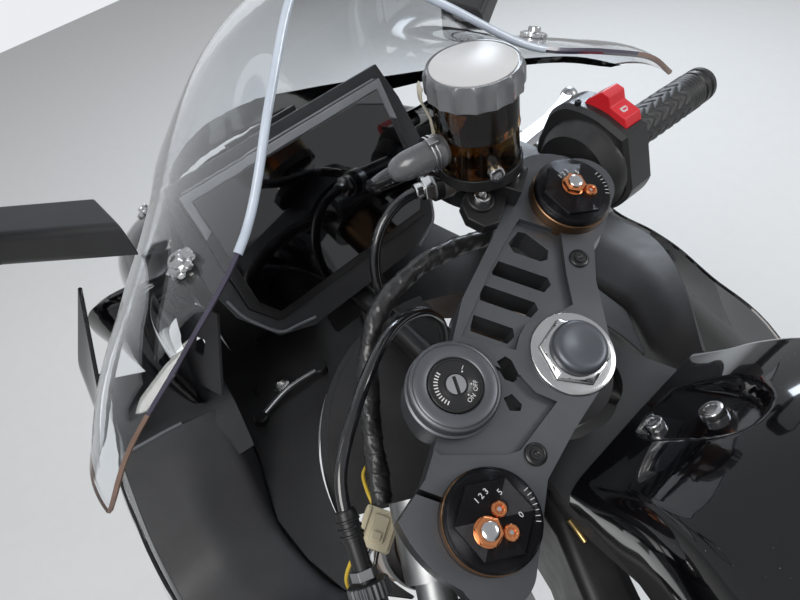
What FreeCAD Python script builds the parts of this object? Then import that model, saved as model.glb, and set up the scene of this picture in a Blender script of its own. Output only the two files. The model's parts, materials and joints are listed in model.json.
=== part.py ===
import FreeCAD, Part
import Sketcher
import math
import os
from types import SimpleNamespace
from FreeCAD import Placement, Rotation, Vector

# Sport motorcycle front section: main frame, cockpit, tank, upper fairing and the whole steering.
# Row frame: +X forward, +Y to the rider's left, +Z up, origin on the swingarm pivot's axis at mid-width.
# The steering is built in its own frame, x ahead of the stem, y left, z up along the stem from the top clamp.

SIZES = (
    ("stem_ahead", 545.0, "steering stem's top ahead of the swingarm pivot"),
    ("stem_up", 540.0, "steering stem's top above the swingarm pivot"),
    ("rake", 22.6, "lean of the steering axis, degrees"),
    ("lock", 29.0, "steering stop each side, degrees"),
    ("fork_half", 107.0, "half of the fork tubes' spacing"),
    ("fork_offset", 24.7, "fork tubes ahead of the stem"),
    ("tube_radius", 26.5, "outer fork tube"),
    ("slider_radius", 21.5, "inner fork tube"),
    ("tube_gap", 0.4, "running gap between the fork tubes"),
    ("tube_top", 7.5, "outer fork tube's rim above the top clamp"),
    ("tube_length", 432.0, "outer fork tube"),
    ("axle_drop", 690.0, "front axle below the top clamp, along the fork"),
    ("axle_radius", 12.5, "bore of the fork feet for the front axle"),
    ("foot_width", 46.0, "fork foot across, along the axle"),
    ("clamp_thick", 24.0, "top clamp"),
    ("clamp_recess", 4.5, "slotted floor below the top clamp's rim"),
    ("clamp_fit", 0.05, "clearance of clamped bores round what they grip"),
    ("lower_top", 204.0, "lower clamp's top face below the top clamp's"),
    ("lower_thick", 38.0, "lower clamp"),
    ("boss_wall", 9.0, "wall of the clamps round the fork tubes"),
    ("stem_radius", 15.0, "steering stem"),
    ("nut_flats", 37.0, "stem nut across its flats"),
    ("nut_height", 7.0, "stem nut's flange and hexagon"),
    ("cap_radius", 25.7, "fork cap"),
    ("cap_rise", 14.1, "fork cap's top above the top clamp"),
    ("cap_step", 37.0, "raised hexagon on the fork cap, across its flats"),
    ("lock_ahead", 62.0, "ignition lock ahead of the stem"),
    ("lock_left", 47.0, "ignition lock left of the stem"),
    ("lock_radius", 26.2, "ignition lock's ring"),
    ("lock_rise", 11.8, "ignition lock's ring above the top clamp"),
    ("lock_depth", 52.0, "ignition lock's body below the top clamp"),
    ("face_radius", 15.5, "ignition lock's face"),
    ("clip_drop", 42.0, "clip-on bar below the top clamp, at the fork"),
    ("clip_height", 32.0, "clip-on clamp along the fork tube"),
    ("bar_radius", 11.1, "handlebar tube"),
    ("bar_ahead", 32.2, "handlebar's start ahead of the fork tube's axis"),
    ("bar_sweep", 31.4, "handlebar swept back, degrees"),
    ("bar_droop", 4.0, "handlebar falling outward, degrees"),
    ("bar_reach", 250.0, "handlebar tube's end from its start"),
    ("grip_start", 126.0, "grip's inner end from the handlebar's start"),
    ("grip_length", 122.0, "grip"),
    ("grip_radius", 16.0, "grip"),
    ("drum_start", 72.0, "switch housing's drum from the handlebar's start"),
    ("drum_radius", 38.5, "switch housing's drum at its wide end"),
    ("drum_length", 16.0, "switch housing's drum"),
    ("shell_length", 36.0, "switch housing outside its drum"),
    ("perch_start", 52.5, "lever perch's inner end from the handlebar's start"),
    ("perch_width", 18.5, "lever perch along the bar"),
    ("perch_thick", 20.0, "lever perch across the lever's plane"),
    ("lever_tilt", 22.0, "levers' plane below level, degrees"),
    ("pin_ahead", 52.0, "lever's pin ahead of the handlebar"),
    ("pin_out", 11.5, "lever's pin outside the perch's inner end"),
    ("pin_radius", 4.0, "lever's pin"),
    ("lever_thick", 9.0, "brake and clutch levers"),
    ("bottle_ahead", 106.0, "reservoir cap's centre ahead of the stem"),
    ("bottle_right", 113.6, "reservoir cap's centre right of the stem"),
    ("bottle_rise", 60.0, "reservoir cap's underside above the top clamp"),
    ("bottle_radius", 26.0, "brake reservoir's body"),
    ("bottle_height", 58.0, "brake reservoir's body"),
    ("bottle_cap_radius", 30.0, "brake reservoir's cap"),
    ("bottle_cap_height", 17.0, "brake reservoir's cap"),
    ("head_radius", 37.0, "frame's head tube"),
    ("head_clearance", 3.0, "head tube's ends clear of the clamps"),
    ("plate_half", 128.0, "middle of a pivot plate from mid-width"),
    ("plate_thick", 30.0, "pivot plate"),
    ("pivot_radius", 12.5, "swingarm pivot's bore"),
    ("engine_radius", 6.0, "engine mounts' bores"),
    ("engine_front_ahead", 395.0, "front engine bore ahead of the swingarm pivot"),
    ("engine_front_up", 268.0, "front engine bore above the swingarm pivot"),
    ("engine_rear_back", 20.0, "rear engine bore behind the swingarm pivot"),
    ("engine_rear_down", 118.0, "rear engine bore below the swingarm pivot"),
    ("dash_ahead", 251.0, "instrument glass's centre ahead of the stem's top"),
    ("dash_below", 11.0, "instrument glass's centre below the stem's top"),
    ("dash_tilt", 65.5, "instrument face's slope above level, degrees"),
    ("dash_width", 185.0, "instrument glass"),
    ("dash_height", 112.0, "instrument glass"),
    ("dash_depth", 38.0, "instrument housing"),
    ("dash_rim", 8.0, "instrument housing's rim round the glass"),
    ("screen_wall", 4.0, "windscreen"),
    ("cowl_wall", 3.0, "fairing panels"),
    ("cover_top", 42.0, "frame cover's top below the stem's top"),
    ("tray_drop", 172.0, "nose tray below the stem's top"),
    ("tray_wall", 4.0, "nose tray"),
    ("fork_room", 151.0, "room kept free round the steering axis, radius"),
)

size = SimpleNamespace(**{alias: value for alias, value, note in SIZES})

doc = FreeCAD.newDocument("sport_front")
sheet = doc.addObject("Spreadsheet::Sheet", "Sizes")
for row, (alias, value, note) in enumerate(SIZES, start=1):
    sheet.set(f"A{row}", note)
    sheet.set(f"B{row}", str(value))
    sheet.setAlias(f"B{row}", alias)
doc.recompute()

X_AXIS = Vector(1, 0, 0)
Y_AXIS = Vector(0, 1, 0)
Z_AXIS = Vector(0, 0, 1)
SIDES = (("left", 1), ("right", -1))

STEM_TOP = Vector(size.stem_ahead, 0, size.stem_up)
UPRIGHT = Placement(STEM_TOP, Rotation(Y_AXIS, -size.rake))
STEERING = Placement(STEM_TOP, Rotation(Y_AXIS, -size.rake) * Rotation(Z_AXIS, size.lock))
FROM_STEM = Placement(STEM_TOP, Rotation())

# Route of the clutch cable from its adjuster, ahead, left and above the stem's top
CLUTCH_CABLE = (
    (92, 128, -38), (103.3, 114.1, -34.3), (109, 92, -31), (111, 62, -31), (111, 28, -36), (106, -2, -46),
    (93, -25, -64),
    (79, -37, -92), (70, -43, -122), (66, -46, -150),
)

# Hose from the brake reservoir to the master cylinder
RESERVOIR_HOSE = (
    (113, -87.4, 32), (124.5, -73.7, 31), (139, -65.3, 20), (149, -65.3, 2.6), (152, -76, -14),
    (147, -92, -29),
    (125, -124, -35.4), (114, -135, -51),
)

# Loom from the right handlebar to its connector
WIRING_LOOM = (
    (58.7, -92.7, -44.3), (84, -72, -42), (107, -44, -43), (121, -10, -49), (118, 20, -62), (105, 50, -70),
    (93, 76, -74), (83, 92, -77), (75.9, 105.9, -79.6),
)

# Hose from the master cylinder down beside the stem
BRAKE_HOSE = (
    (117.6, -132.2, -67.6), (129.3, -121.3, -68.2), (140.3, -105.3, -72.8), (144.7, -86.4, -83.1),
    (141.1, -68.4, -98.5), (130.7, -55.4, -118.5), (116.7, -48.4, -141.7),
)

# Corners of the left recessed panel, ahead, left and above the stem's top
RECESS_CORNERS = ((258, 120, -52), (322, 138, -58), (256, 184, -86), (226, 156, -100))

# Adjusters on the fork caps, ahead and left of each tube's axis
PRELOAD_AT = {"left": (2.0, 7.3), "right": (1.6, -1.2)}
SCREWS_AT = {"left": ((-0.3, -4.6), (-8.8, 3.9)), "right": ((-9.8, -1.0),)}

finished = []


def bind(item, **links):
    """Bind properties of an object to expressions on the sheet, each alias written as in SIZES."""
    for name, expression in links.items():
        item.setExpression(name, expression)
    return item


def finish(item, label, place=None):
    """Name a sub-part, seat it and put it on the list of nodes."""
    item.Label = label
    if place is not None:
        item.Placement = place * item.Placement
    finished.append(item)
    return item


def along(direction, start=Vector(), turn=0.0):
    """Placement whose Z runs along a direction from a start point."""
    return Placement(start, Rotation(Z_AXIS, direction) * Rotation(Z_AXIS, turn))


def cylinder(name, radius, height, place=Placement(), **links):
    """Part cylinder; links bind Radius and Height to the sheet."""
    item = doc.addObject("Part::Cylinder", name)
    item.Radius = radius
    item.Height = height
    item.Placement = place
    return bind(item, **links)


def block(name, length, width, height, place=Placement(), **links):
    """Part box centred on its placement."""
    item = doc.addObject("Part::Box", name)
    item.Length = length
    item.Width = width
    item.Height = height
    item.Placement = place * Placement(Vector(-length / 2, -width / 2, -height / 2), Rotation())
    return bind(item, **links)


def hexagon(name, flats, height, place=Placement()):
    """Part prism of six sides, sized across its flats."""
    item = doc.addObject("Part::Prism", name)
    item.Polygon = 6
    item.Circumradius = flats / math.sqrt(3)
    item.Height = height
    item.Placement = place
    return item


def fuse(name, *items):
    """Union of several objects."""
    item = doc.addObject("Part::MultiFuse", name)
    item.Shapes = list(items)
    item.Refine = True
    return item


def group(name, *items):
    """Like pieces that share a node and don't touch."""
    item = doc.addObject("Part::Compound", name)
    item.Links = list(items)
    return item


def cut(name, base, *tools):
    """One object less others."""
    item = doc.addObject("Part::Cut", name)
    item.Base = base
    item.Tool = tools[0] if len(tools) == 1 else fuse(name + "_tools", *tools)
    item.Refine = True
    return item


def draw(sketch, path):
    """Draw a closed outline: a step is (x, y) for a line, or (x, y, middle_x, middle_y) for an arc."""
    corners = [Vector(step[0], step[1], 0) for step in path]
    edges = []
    for index, step in enumerate(path):
        start = corners[index - 1]
        end = corners[index]
        if len(step) == 4:
            edges.append(Part.Arc(start, Vector(step[2], step[3], 0), end))
        else:
            edges.append(Part.LineSegment(start, end))
    first = sketch.GeometryCount
    sketch.addGeometry(edges, False)
    count = len(edges)
    for index in range(count):
        here = first + index
        after = first + (index + 1) % count
        for ends in ((2, 1), (2, 2), (1, 1), (1, 2)):
            if (sketch.getPoint(here, ends[0]) - sketch.getPoint(after, ends[1])).Length < 1e-6:
                joint = sketch.getPoint(here, ends[0])
                if (joint - corners[index]).Length < 1e-6:
                    sketch.addConstraint(Sketcher.Constraint("Coincident", here, ends[0], after, ends[1]))
                    break


def sketch_on(name, place, *paths):
    """Free sketch with one or more closed outlines on a placed plane."""
    item = doc.addObject("Sketcher::SketchObject", name)
    item.Placement = place
    for path in paths:
        draw(item, path)
    return item


def slab(name, place, thickness, *paths, **links):
    """Outline pushed out along its plane's normal; inner outlines are holes."""
    item = doc.addObject("Part::Extrusion", name)
    item.Base = sketch_on(name + "_outline", place, *paths)
    item.DirMode = "Normal"
    item.LengthFwd = thickness
    item.Solid = True
    return bind(item, **links)


def turned(name, profile, place=Placement()):
    """Profile of (radius, height) corners turned about Z."""
    item = doc.addObject("Part::Revolution", name)
    item.Source = sketch_on(name + "_profile", Placement(Vector(), Rotation(X_AXIS, 90)), profile)
    item.Axis = Z_AXIS
    item.Base = Vector()
    item.Angle = 360
    item.Solid = True
    item.Placement = place
    return item


def ring_path(radius, centre=(0.0, 0.0)):
    """Full circle as two arcs."""
    across, up = centre
    return [
        (across + radius, up, across, up - radius),
        (across - radius, up, across, up + radius),
    ]


def station_loft(name, planes, outlines, ruled=True):
    """Loft through outlines, one on each placed plane."""
    item = doc.addObject("Part::Loft", name)
    item.Sections = [
        sketch_on(f"{name}_station{index}", place, outline)
        for index, (place, outline) in enumerate(zip(planes, outlines))
    ]
    item.Solid = True
    item.Ruled = ruled
    return item


def across_at(ahead):
    """Plane square to X: its x is Y and its y is Z."""
    return Placement(Vector(ahead, 0, 0), Rotation(Vector(0, 1, 0), Vector(0, 0, 1), Vector(1, 0, 0), "ZXY"))


def wall_path(line, wall):
    """Closed outline of a wall that follows a line of corners, its thickness on the line's right."""
    inner = []
    for index, (x, y) in enumerate(line):
        before = line[max(index - 1, 0)]
        after = line[min(index + 1, len(line) - 1)]
        normals = []
        for start, end in ((before, (x, y)), ((x, y), after)):
            run = math.hypot(end[0] - start[0], end[1] - start[1])
            if run > 0:
                normals.append(((end[1] - start[1]) / run, -(end[0] - start[0]) / run))
        side = (sum(n[0] for n in normals), sum(n[1] for n in normals))
        scale = len(normals) * wall / (side[0] ** 2 + side[1] ** 2)
        inner.append((x + side[0] * scale, y + side[1] * scale))
    return list(line) + inner[::-1]


def rounded_box_path(centre, width, height, corner):
    """Rectangle with round corners, counter-clockwise from its lower right."""
    across, up = centre
    right = across + width / 2
    left = across - width / 2
    top = up + height / 2
    low = up - height / 2
    bite = corner * (1 - math.sqrt(0.5))
    return [
        (right - corner, low),
        (right, low + corner, right - bite, low + bite),
        (right, top - corner),
        (right - corner, top, right - bite, top - bite),
        (left + corner, top),
        (left, top - corner, left + bite, top - bite),
        (left, low + corner),
        (left + corner, low, left + bite, low + bite),
    ]


def skin(name, rows, wall):
    """Curved sheet of even thickness: rows of points on its outer face, the wall lies inside them."""
    surface = Part.BSplineSurface()
    surface.interpolate(rows)
    item = doc.addObject("Part::Feature", name)
    item.Shape = surface.toShape().makeOffsetShape(-wall, 0.01, fill=True)
    return item


def both_sides(ribs):
    """Rows of points from the left edge to the right, from ribs listed mid-plane first."""
    left = [[STEM_TOP + Vector(*point) for point in rib] for rib in ribs]
    right = [[Vector(point.x, -point.y, point.z) for point in rib] for rib in left[1:]]
    return left[::-1] + right


# Body helpers: features stacked on one solid
def origin_plane(body, role):
    return next(item for item in body.Origin.OriginFeatures if item.Role == role)


def body_sketch(body, name, height, *paths, role="XY_Plane"):
    """Sketch of a body at a height over one of its origin planes."""
    item = body.newObject("Sketcher::SketchObject", name)
    item.AttachmentSupport = [(origin_plane(body, role), "")]
    item.MapMode = "FlatFace"
    item.AttachmentOffset = Placement(Vector(0, 0, height), Rotation())
    for path in paths:
        draw(item, path)
    return item


def pad(body, name, height, length, *paths, down=False, role="XY_Plane"):
    """Add material from a sketch; length is an expression on the sheet."""
    item = body.newObject("PartDesign::Pad", name)
    item.Profile = body_sketch(body, name + "_sketch", height, *paths, role=role)
    item.Reversed = down
    item.setExpression("Length", length)
    return item


def pocket(body, name, height, length, *paths, role="XY_Plane"):
    """Take material away downward from a sketch; length is an expression on the sheet."""
    item = body.newObject("PartDesign::Pocket", name)
    item.Profile = body_sketch(body, name + "_sketch", height, *paths, role=role)
    item.setExpression("Length", length)
    return item


def cord_tube(name, radius, points):
    """Tube through hand-chosen points: straight runs joined by tangent arcs."""
    route = [Vector(*point) for point in points]
    edges = []
    start = route[0]
    radii = []
    for before, corner, after in zip(route, route[1:], route[2:]):
        into = corner - before
        out = after - corner
        turn = into.getAngle(out)
        shorter = min(into.Length, out.Length)
        bend = 0.45 * shorter / math.tan(turn / 2)
        radii.append(bend)
        reach = 0.45 * shorter
        first = corner - into.normalize() * reach
        last = corner + out.normalize() * reach
        towards = (first + last) * 0.5 - corner
        middle = corner + towards.normalize() * (bend / math.cos(turn / 2) - bend)
        edges.append(Part.LineSegment(start, first).toShape())
        edges.append(Part.Arc(first, middle, last).toShape())
        start = last
    edges.append(Part.LineSegment(start, route[-1]).toShape())
    path = Part.Wire(edges)
    section = Part.Wire(Part.makeCircle(radius, route[0], route[1] - route[0]))
    tube = path.makePipeShell([section], True, False)
    item = doc.addObject("Part::Feature", name)
    item.Shape = tube
    expected = path.Length * math.pi * radius ** 2
    print(f"{name}: length {path.Length:.0f} mm, smallest radius {min(radii):.0f} mm, "
          f"volume {tube.Volume / expected:.4f} of section times length")
    return item


# Top clamp: slotted plate between the fork tubes, deeper floor inside a raised rear rim
def make_top_clamp():
    body = doc.addObject("PartDesign::Body", "top_clamp")
    boss = size.tube_radius + size.boss_wall
    fork = (size.fork_offset, size.fork_half)
    outline = [
        (70, 16), (72, -10), (68, -39), (64, -69), (64, -83),
        (fork[0] + 4, -fork[1] - boss, 64, -125),
        (fork[0] - 30, -fork[1] - 18, -1, -138),
        (-3, -92), (1, -80), (-5, -54), (-20, -18),
        (-20, 16, -25, -1), (-10, 44), (-1, 76), (-2, 87),
        (fork[0] - 30, fork[1] + 18), (fork[0] + 4, fork[1] + boss, -1, 138),
        (69, 122, 50, 136), (62, 98), (62, 75),
    ]
    pad(body, "plate", -size.clamp_thick, "Sizes.clamp_thick", outline)
    left_floor = [(58, 83), (24, 71), (17, 66), (3, 32), (16, 31), (27, 24), (66, 24), (66, 80)]
    right_floor = [
        (66, 13), (61, -36), (57, -61), (52, -80), (24, -81), (14, -51), (6, -32), (13, -24),
        (31, -9), (33, 0), (33, 10),
    ]
    pocket(body, "floors", 0, "Sizes.clamp_recess", left_floor, right_floor)
    slots = [
        [(54, -62), (50, -73), (45, -74), (28, -67), (27, -60), (31, -57), (49, -57)],
        [(59, -38), (57, -47), (24, -47), (21, -43), (24, -36), (58, -36)],
        [(62, -20), (61, -27), (28, -27), (25, -23), (28, -16), (61, -16)],
        [(62, 3), (62, -5), (37, -5), (35, 0), (38, 6), (61, 6)],
        [(42, 21), (38, 16), (34, 17), (27, 25), (29, 28), (34, 28)],
        [(32, 39), (28, 35), (21, 39), (21, 43), (27, 45)],
    ]
    pocket(body, "slots", 0, "Sizes.clamp_thick", *slots)
    bores = [
        ring_path(size.tube_radius + size.clamp_fit, (fork[0], -fork[1])),
        ring_path(size.tube_radius + size.clamp_fit, (fork[0], fork[1])),
        ring_path(size.stem_radius + size.clamp_fit),
        ring_path(size.lock_radius + size.clamp_fit, (size.lock_ahead, size.lock_left)),
    ]
    pocket(body, "bores", 0, "Sizes.clamp_thick", *bores)
    pinch = [(70, 103.5), (50, 103.5), (50, 106.5), (70, 106.5)]
    pocket(body, "pinch_slot", 0, "Sizes.clamp_thick", pinch)
    return finish(body, "top_clamp", STEERING)


def make_clamp_plugs():
    plugs = [
        turned(f"plug_{side}", [(0, 0), (6, 0), (6, 1.2), (3.5, 2.2), (0, 2.2)],
               Placement(Vector(8.5, 65.3 * sign, 0), Rotation()))
        for side, sign in SIDES
    ]
    finish(group("clamp_plugs", *plugs), "clamp_plugs", STEERING)


def make_stem():
    depth = size.lower_top + size.lower_thick
    stem = cylinder("stem_bar", size.stem_radius, depth + 6, Placement(Vector(0, 0, -depth - 6), Rotation()),
                    Radius="Sizes.stem_radius", Height="Sizes.lower_top + Sizes.lower_thick + 6")
    hollow = cylinder("stem_hollow", size.stem_radius - 4, depth + 8,
                      Placement(Vector(0, 0, -depth - 7), Rotation()))
    finish(cut("stem", stem, hollow), "steering_stem", STEERING)
    flange = turned("nut_flange", [(11.5, 0), (26, 0), (26, 1.6), (22, 3.2), (11.5, 3.2)])
    flats = hexagon("nut_hex", size.nut_flats, size.nut_height, Placement(Vector(), Rotation(Z_AXIS, 12)))
    bore = cylinder("nut_bore", 11.5, 30, Placement(Vector(0, 0, -5), Rotation()))
    finish(cut("nut", fuse("nut_solid", flange, flats), bore), "stem_nut", STEERING)
    disc = turned("disc", [(0, 0), (11.2, 0), (11.2, 7.2), (16.5, 7.2), (16.5, 12.6), (14, 15.1), (0, 15.1)])
    finish(disc, "stem_cap", STEERING)


# Lower clamp: deep yoke pressed on the stem
def make_lower_clamp():
    boss = size.tube_radius + size.boss_wall
    top = -size.lower_top
    low = top - size.lower_thick
    ahead = size.fork_offset
    half = size.fork_half
    web = [(ahead + 18, -half), (ahead + 12, 0), (ahead + 18, half), (ahead - 30, half), (-24, 24),
           (-24, -24), (ahead - 30, -half)]
    plate = slab("yoke_web", Placement(Vector(0, 0, low), Rotation()), size.lower_thick, web,
                 LengthFwd="Sizes.lower_thick")
    bosses = [
        cylinder(f"yoke_boss_{side}", boss, size.lower_thick,
                 Placement(Vector(ahead, half * sign, low), Rotation()),
                 Radius="Sizes.tube_radius + Sizes.boss_wall", Height="Sizes.lower_thick")
        for side, sign in SIDES
    ]
    bores = [
        cylinder(f"yoke_bore_{side}", size.tube_radius + size.clamp_fit, size.lower_thick + 4,
                 Placement(Vector(ahead, half * sign, low - 2), Rotation()))
        for side, sign in SIDES
    ]
    bores.append(cylinder("yoke_stem_bore", size.stem_radius + size.clamp_fit, 80,
                          Placement(Vector(0, 0, low - 20), Rotation())))
    yoke = cut("yoke", fuse("yoke_solid", plate, *bosses), *bores)
    finish(yoke, "lower_clamp", STEERING)


# Fork: outer tubes, caps with adjusters, inner tubes with axle feet
def make_fork():
    tubes = []
    caps = []
    adjusters = []
    legs = []
    bore = size.slider_radius + size.tube_gap
    top = size.tube_top
    end = top - size.tube_length
    for side, sign in SIDES:
        spot = Placement(Vector(size.fork_offset, size.fork_half * sign, 0), Rotation())
        profile = [
            (bore, end), (size.tube_radius + 2, end), (size.tube_radius + 2, end + 12),
            (size.tube_radius, end + 16),
            (size.tube_radius, top - 1), (size.tube_radius - 1, top), (bore, top),
        ]
        tubes.append(turned(f"tube_{side}", profile, spot))
        rim = size.cap_rise - 2
        cap_profile = [
            (0, top), (size.cap_radius, top), (size.cap_radius, rim - 1.5), (size.cap_radius - 1.5, rim),
            (0, rim),
        ]
        step = hexagon(f"cap_step_{side}", size.cap_step, 3,
                       Placement(Vector(0, 0, rim - 1), Rotation(Z_AXIS, 30)))
        plug = cylinder(f"cap_plug_{side}", bore - size.clamp_fit, 30,
                        Placement(Vector(0, 0, top - 30), Rotation()))
        caps.append(fuse(f"cap_{side}", turned(f"cap_top_{side}", cap_profile), plug, step))
        caps[-1].Placement = spot
        floor = size.cap_rise + 0.05
        ahead, left = PRELOAD_AT[side]
        hexes = [hexagon(f"preload_{side}", 13, 4.5,
                         Placement(Vector(ahead, left, floor), Rotation(Z_AXIS, 10)))]
        for index, (ahead, left) in enumerate(SCREWS_AT[side]):
            screw = [(1.8, 0), (4.1, 0), (4.1, 2.2), (3.4, 3), (1.8, 3)]
            hexes.append(turned(f"screw_{side}_{index}", screw,
                                Placement(Vector(ahead, left, floor), Rotation())))
        adjusters.append(group(f"adjusters_{side}", *hexes))
        adjusters[-1].Placement = spot
        low = -size.axle_drop
        slider = cylinder(f"slider_{side}", size.slider_radius, size.axle_drop - 180,
                          Placement(Vector(0, 0, low + 20), Rotation()))
        foot_path = [
            (-24, 70), (-27, 20), (-24, -8), (14, -24, -9, -27), (27, 6, 27, -14), (26, 40), (24, 70),
        ]
        foot = slab(f"foot_{side}", Placement(Vector(0, size.foot_width / 2, low), Rotation(X_AXIS, 90)),
                    size.foot_width, foot_path,
                    LengthFwd="Sizes.foot_width")
        axle = cylinder(f"axle_bore_{side}", size.axle_radius, size.foot_width + 4,
                        Placement(Vector(0, size.foot_width / 2 + 2, low), Rotation(X_AXIS, 90)),
                        Radius="Sizes.axle_radius")
        legs.append(cut(f"leg_{side}", fuse(f"leg_solid_{side}", slider, foot), axle))
        legs[-1].Placement = spot
    finish(group("tubes", *tubes), "fork_tubes", STEERING)
    finish(group("caps", *caps), "fork_caps", STEERING)
    finish(group("adjusters", *adjusters), "fork_adjusters", STEERING)
    finish(group("legs", *legs), "fork_legs", STEERING)


def make_ignition():
    rise = size.lock_rise
    radius = size.lock_radius
    profile = [
        (0, -size.lock_depth), (20, -size.lock_depth), (20, -size.clamp_thick - 2),
        (radius, -size.clamp_thick), (radius, rise - 2),
        (radius - 2, rise), (size.face_radius + 2, rise), (size.face_radius, rise - 2),
        (size.face_radius, rise - 3), (0, rise - 3),
    ]
    spot = Placement(Vector(size.lock_ahead, size.lock_left, 0), Rotation())
    lock = turned("lock", profile)
    finish(lock, "ignition_lock", STEERING * spot)
    disc = cylinder("face_disc", size.face_radius - size.clamp_fit, 3.2,
                    Placement(Vector(0, 0, rise - 3), Rotation()))
    keyway = block("keyway", 2.4, 11, 3, Placement(Vector(0, 0, rise + 0.2), Rotation(Z_AXIS, 35)))
    finish(cut("face", disc, keyway), "ignition_face", STEERING * spot)


# Clip-on handlebars: a frame whose z runs outward along the bar from the fork tube's axis
def bar_frame(sign):
    sweep = math.radians(size.bar_sweep)
    droop = math.radians(size.bar_droop)
    outward = Vector(-math.sin(sweep) * math.cos(droop), sign * math.cos(sweep) * math.cos(droop),
                     -math.sin(droop))
    ahead = Vector(math.cos(sweep), sign * math.sin(sweep), 0)
    up = outward.cross(ahead) if sign > 0 else ahead.cross(outward)
    start = Vector(size.fork_offset + size.bar_ahead, size.fork_half * sign, -size.clip_drop)
    return Placement(start, Rotation(ahead, up if sign < 0 else up * -1, outward, "ZXY"))


def on_bar(sign, ahead=0.0, up=0.0, out=0.0):
    """Placement on a bar: ahead of it, above it and outward along it."""
    return bar_frame(sign) * Placement(Vector(ahead, up * upward(sign), out), Rotation())


def upward(sign):
    """Whether a bar frame's y points up or down."""
    return 1 if bar_frame(sign).Rotation.multVec(Y_AXIS).z > 0 else -1


def bar_path(sign, path):
    """Outline given as (ahead, up) steps, drawn the right way up on either bar."""
    turn = upward(sign)
    return [tuple(value * (turn if index % 2 else 1) for index, value in enumerate(step)) for step in path]


def make_bars():
    bars = []
    grips = []
    ends = []
    wall = size.boss_wall - 1
    for side, sign in SIDES:
        low = -size.clip_drop - size.clip_height / 2
        spot = Vector(size.fork_offset, size.fork_half * sign, low)
        ring = cylinder(f"clip_ring_{side}", size.tube_radius + wall, size.clip_height,
                        Placement(spot, Rotation()),
                        Radius="Sizes.tube_radius + Sizes.boss_wall - 1", Height="Sizes.clip_height")
        behind = Rotation(Z_AXIS, 135 * sign)
        pinch = spot + behind.multVec(Vector(size.tube_radius + wall + 1, 0, 0))
        pinch += Vector(0, 0, size.clip_height / 2)
        lug = block(f"clip_lug_{side}", 22, 20, size.clip_height, Placement(pinch, behind))
        bar = cylinder(f"bar_{side}", size.bar_radius, size.bar_reach, on_bar(sign),
                       Radius="Sizes.bar_radius", Height="Sizes.bar_reach")
        socket = cylinder(f"bar_socket_{side}", size.bar_radius + 5, 44, on_bar(sign, out=-6))
        bore = cylinder(f"clip_bore_{side}", size.tube_radius + size.clamp_fit, size.clip_height + 4,
                        Placement(spot - Vector(0, 0, 2), Rotation()))
        split = block(f"clip_split_{side}", 30, 3, size.clip_height + 4, Placement(pinch, behind))
        bars.append(cut(f"clip_on_{side}", fuse(f"clip_solid_{side}", ring, lug, bar, socket), bore, split))
        inner = size.bar_radius + size.clamp_fit
        grip_profile = [
            (inner, 0), (25, 0), (25, 4), (17.5, 8), (size.grip_radius, 14),
            (size.grip_radius, size.grip_length - 4),
            (size.grip_radius - 2, size.grip_length), (inner, size.grip_length),
        ]
        grips.append(turned(f"grip_{side}", grip_profile, on_bar(sign, out=size.grip_start)))
        end_profile = [(0, 0.3), (15, 0.3), (16, 2), (16, 17), (13.5, 20), (7, 20), (6, 17), (0, 17)]
        ends.append(turned(f"bar_end_{side}", end_profile, on_bar(sign, out=size.bar_reach)))
    finish(group("bars", *bars), "clip_ons", STEERING)
    finish(group("grips", *grips), "grips", STEERING)
    finish(group("bar_ends", *ends), "bar_ends", STEERING)


def make_switches():
    inner = size.bar_radius + size.clamp_fit
    start = size.drum_start
    # outline round the bar: ahead and up, the round stretches as arcs
    shell_path = [
        (44, -10), (46, 16), (36, 36, 43, 27), (6, 47, 22, 43), (-17, 48), (-43, 16), (-38, -16, -44, 0),
        (-20, -29, -31, -24),
        (24, -29), (40, -21, 33, -26),
    ]
    rocker_path = [(27, 40.3), (27, 44), (20, 57), (13, 58), (8, 52), (-6, 53), (-11, 48), (-11, 40.3)]
    room_path = [(27.4, 40), (27.4, 66), (-11.4, 66), (-11.4, 40)]
    for side, sign in SIDES:
        wide = size.drum_radius
        drum_profile = [(inner, 0), (31, 0), (wide, size.drum_length - 3), (wide, size.drum_length + 1),
                        (inner, size.drum_length + 1)]
        drum = turned(f"switch_drum_{side}", drum_profile, on_bar(sign, -2, 4, start))
        first = start + size.drum_length
        last = first + size.shell_length
        planes = [on_bar(sign, out=out) for out in (first, first + 4, last - 8, last)]
        outlines = [
            bar_path(sign, [tuple(value * share for value in step) for step in shell_path])
            for share in (0.94, 1.0, 1.0, 0.86)
        ]
        shell = station_loft(f"switch_shell_{side}", planes, outlines)
        bore = cylinder(f"switch_bore_{side}", inner, last - start + 4, on_bar(sign, out=start - 2))
        tools = [bore]
        if side == "right":
            tools.append(slab("rocker_room", on_bar(sign, out=first + 9.7), 19.6, bar_path(sign, room_path)))
        housing = cut(f"switch_{side}", fuse(f"switch_solid_{side}", drum, shell), *tools)
        finish(housing, f"switch_housing_{side}", STEERING)
        if side == "right":
            rocker = slab("rocker", on_bar(sign, out=first + 10), 19, bar_path(sign, rocker_path))
            finish(rocker, "kill_switch", STEERING)


# Lever perches: split ring on the bar, arm ahead of it with two ears, and the lever's pin between them
def perch_frame(sign):
    """Frame at a perch's inner end: x ahead in the lever's plane, y out along the bar, z square to both."""
    bar = bar_frame(sign)
    outward = bar.Rotation.multVec(Z_AXIS)
    lean = math.radians(size.lever_tilt)
    ahead = bar.Rotation.multVec(Vector(math.cos(lean), -upward(sign) * math.sin(lean), 0))
    start = bar.multVec(Vector(0, 0, size.perch_start))
    return Placement(start, Rotation(ahead, outward, ahead.cross(outward), "ZXY"))


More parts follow.
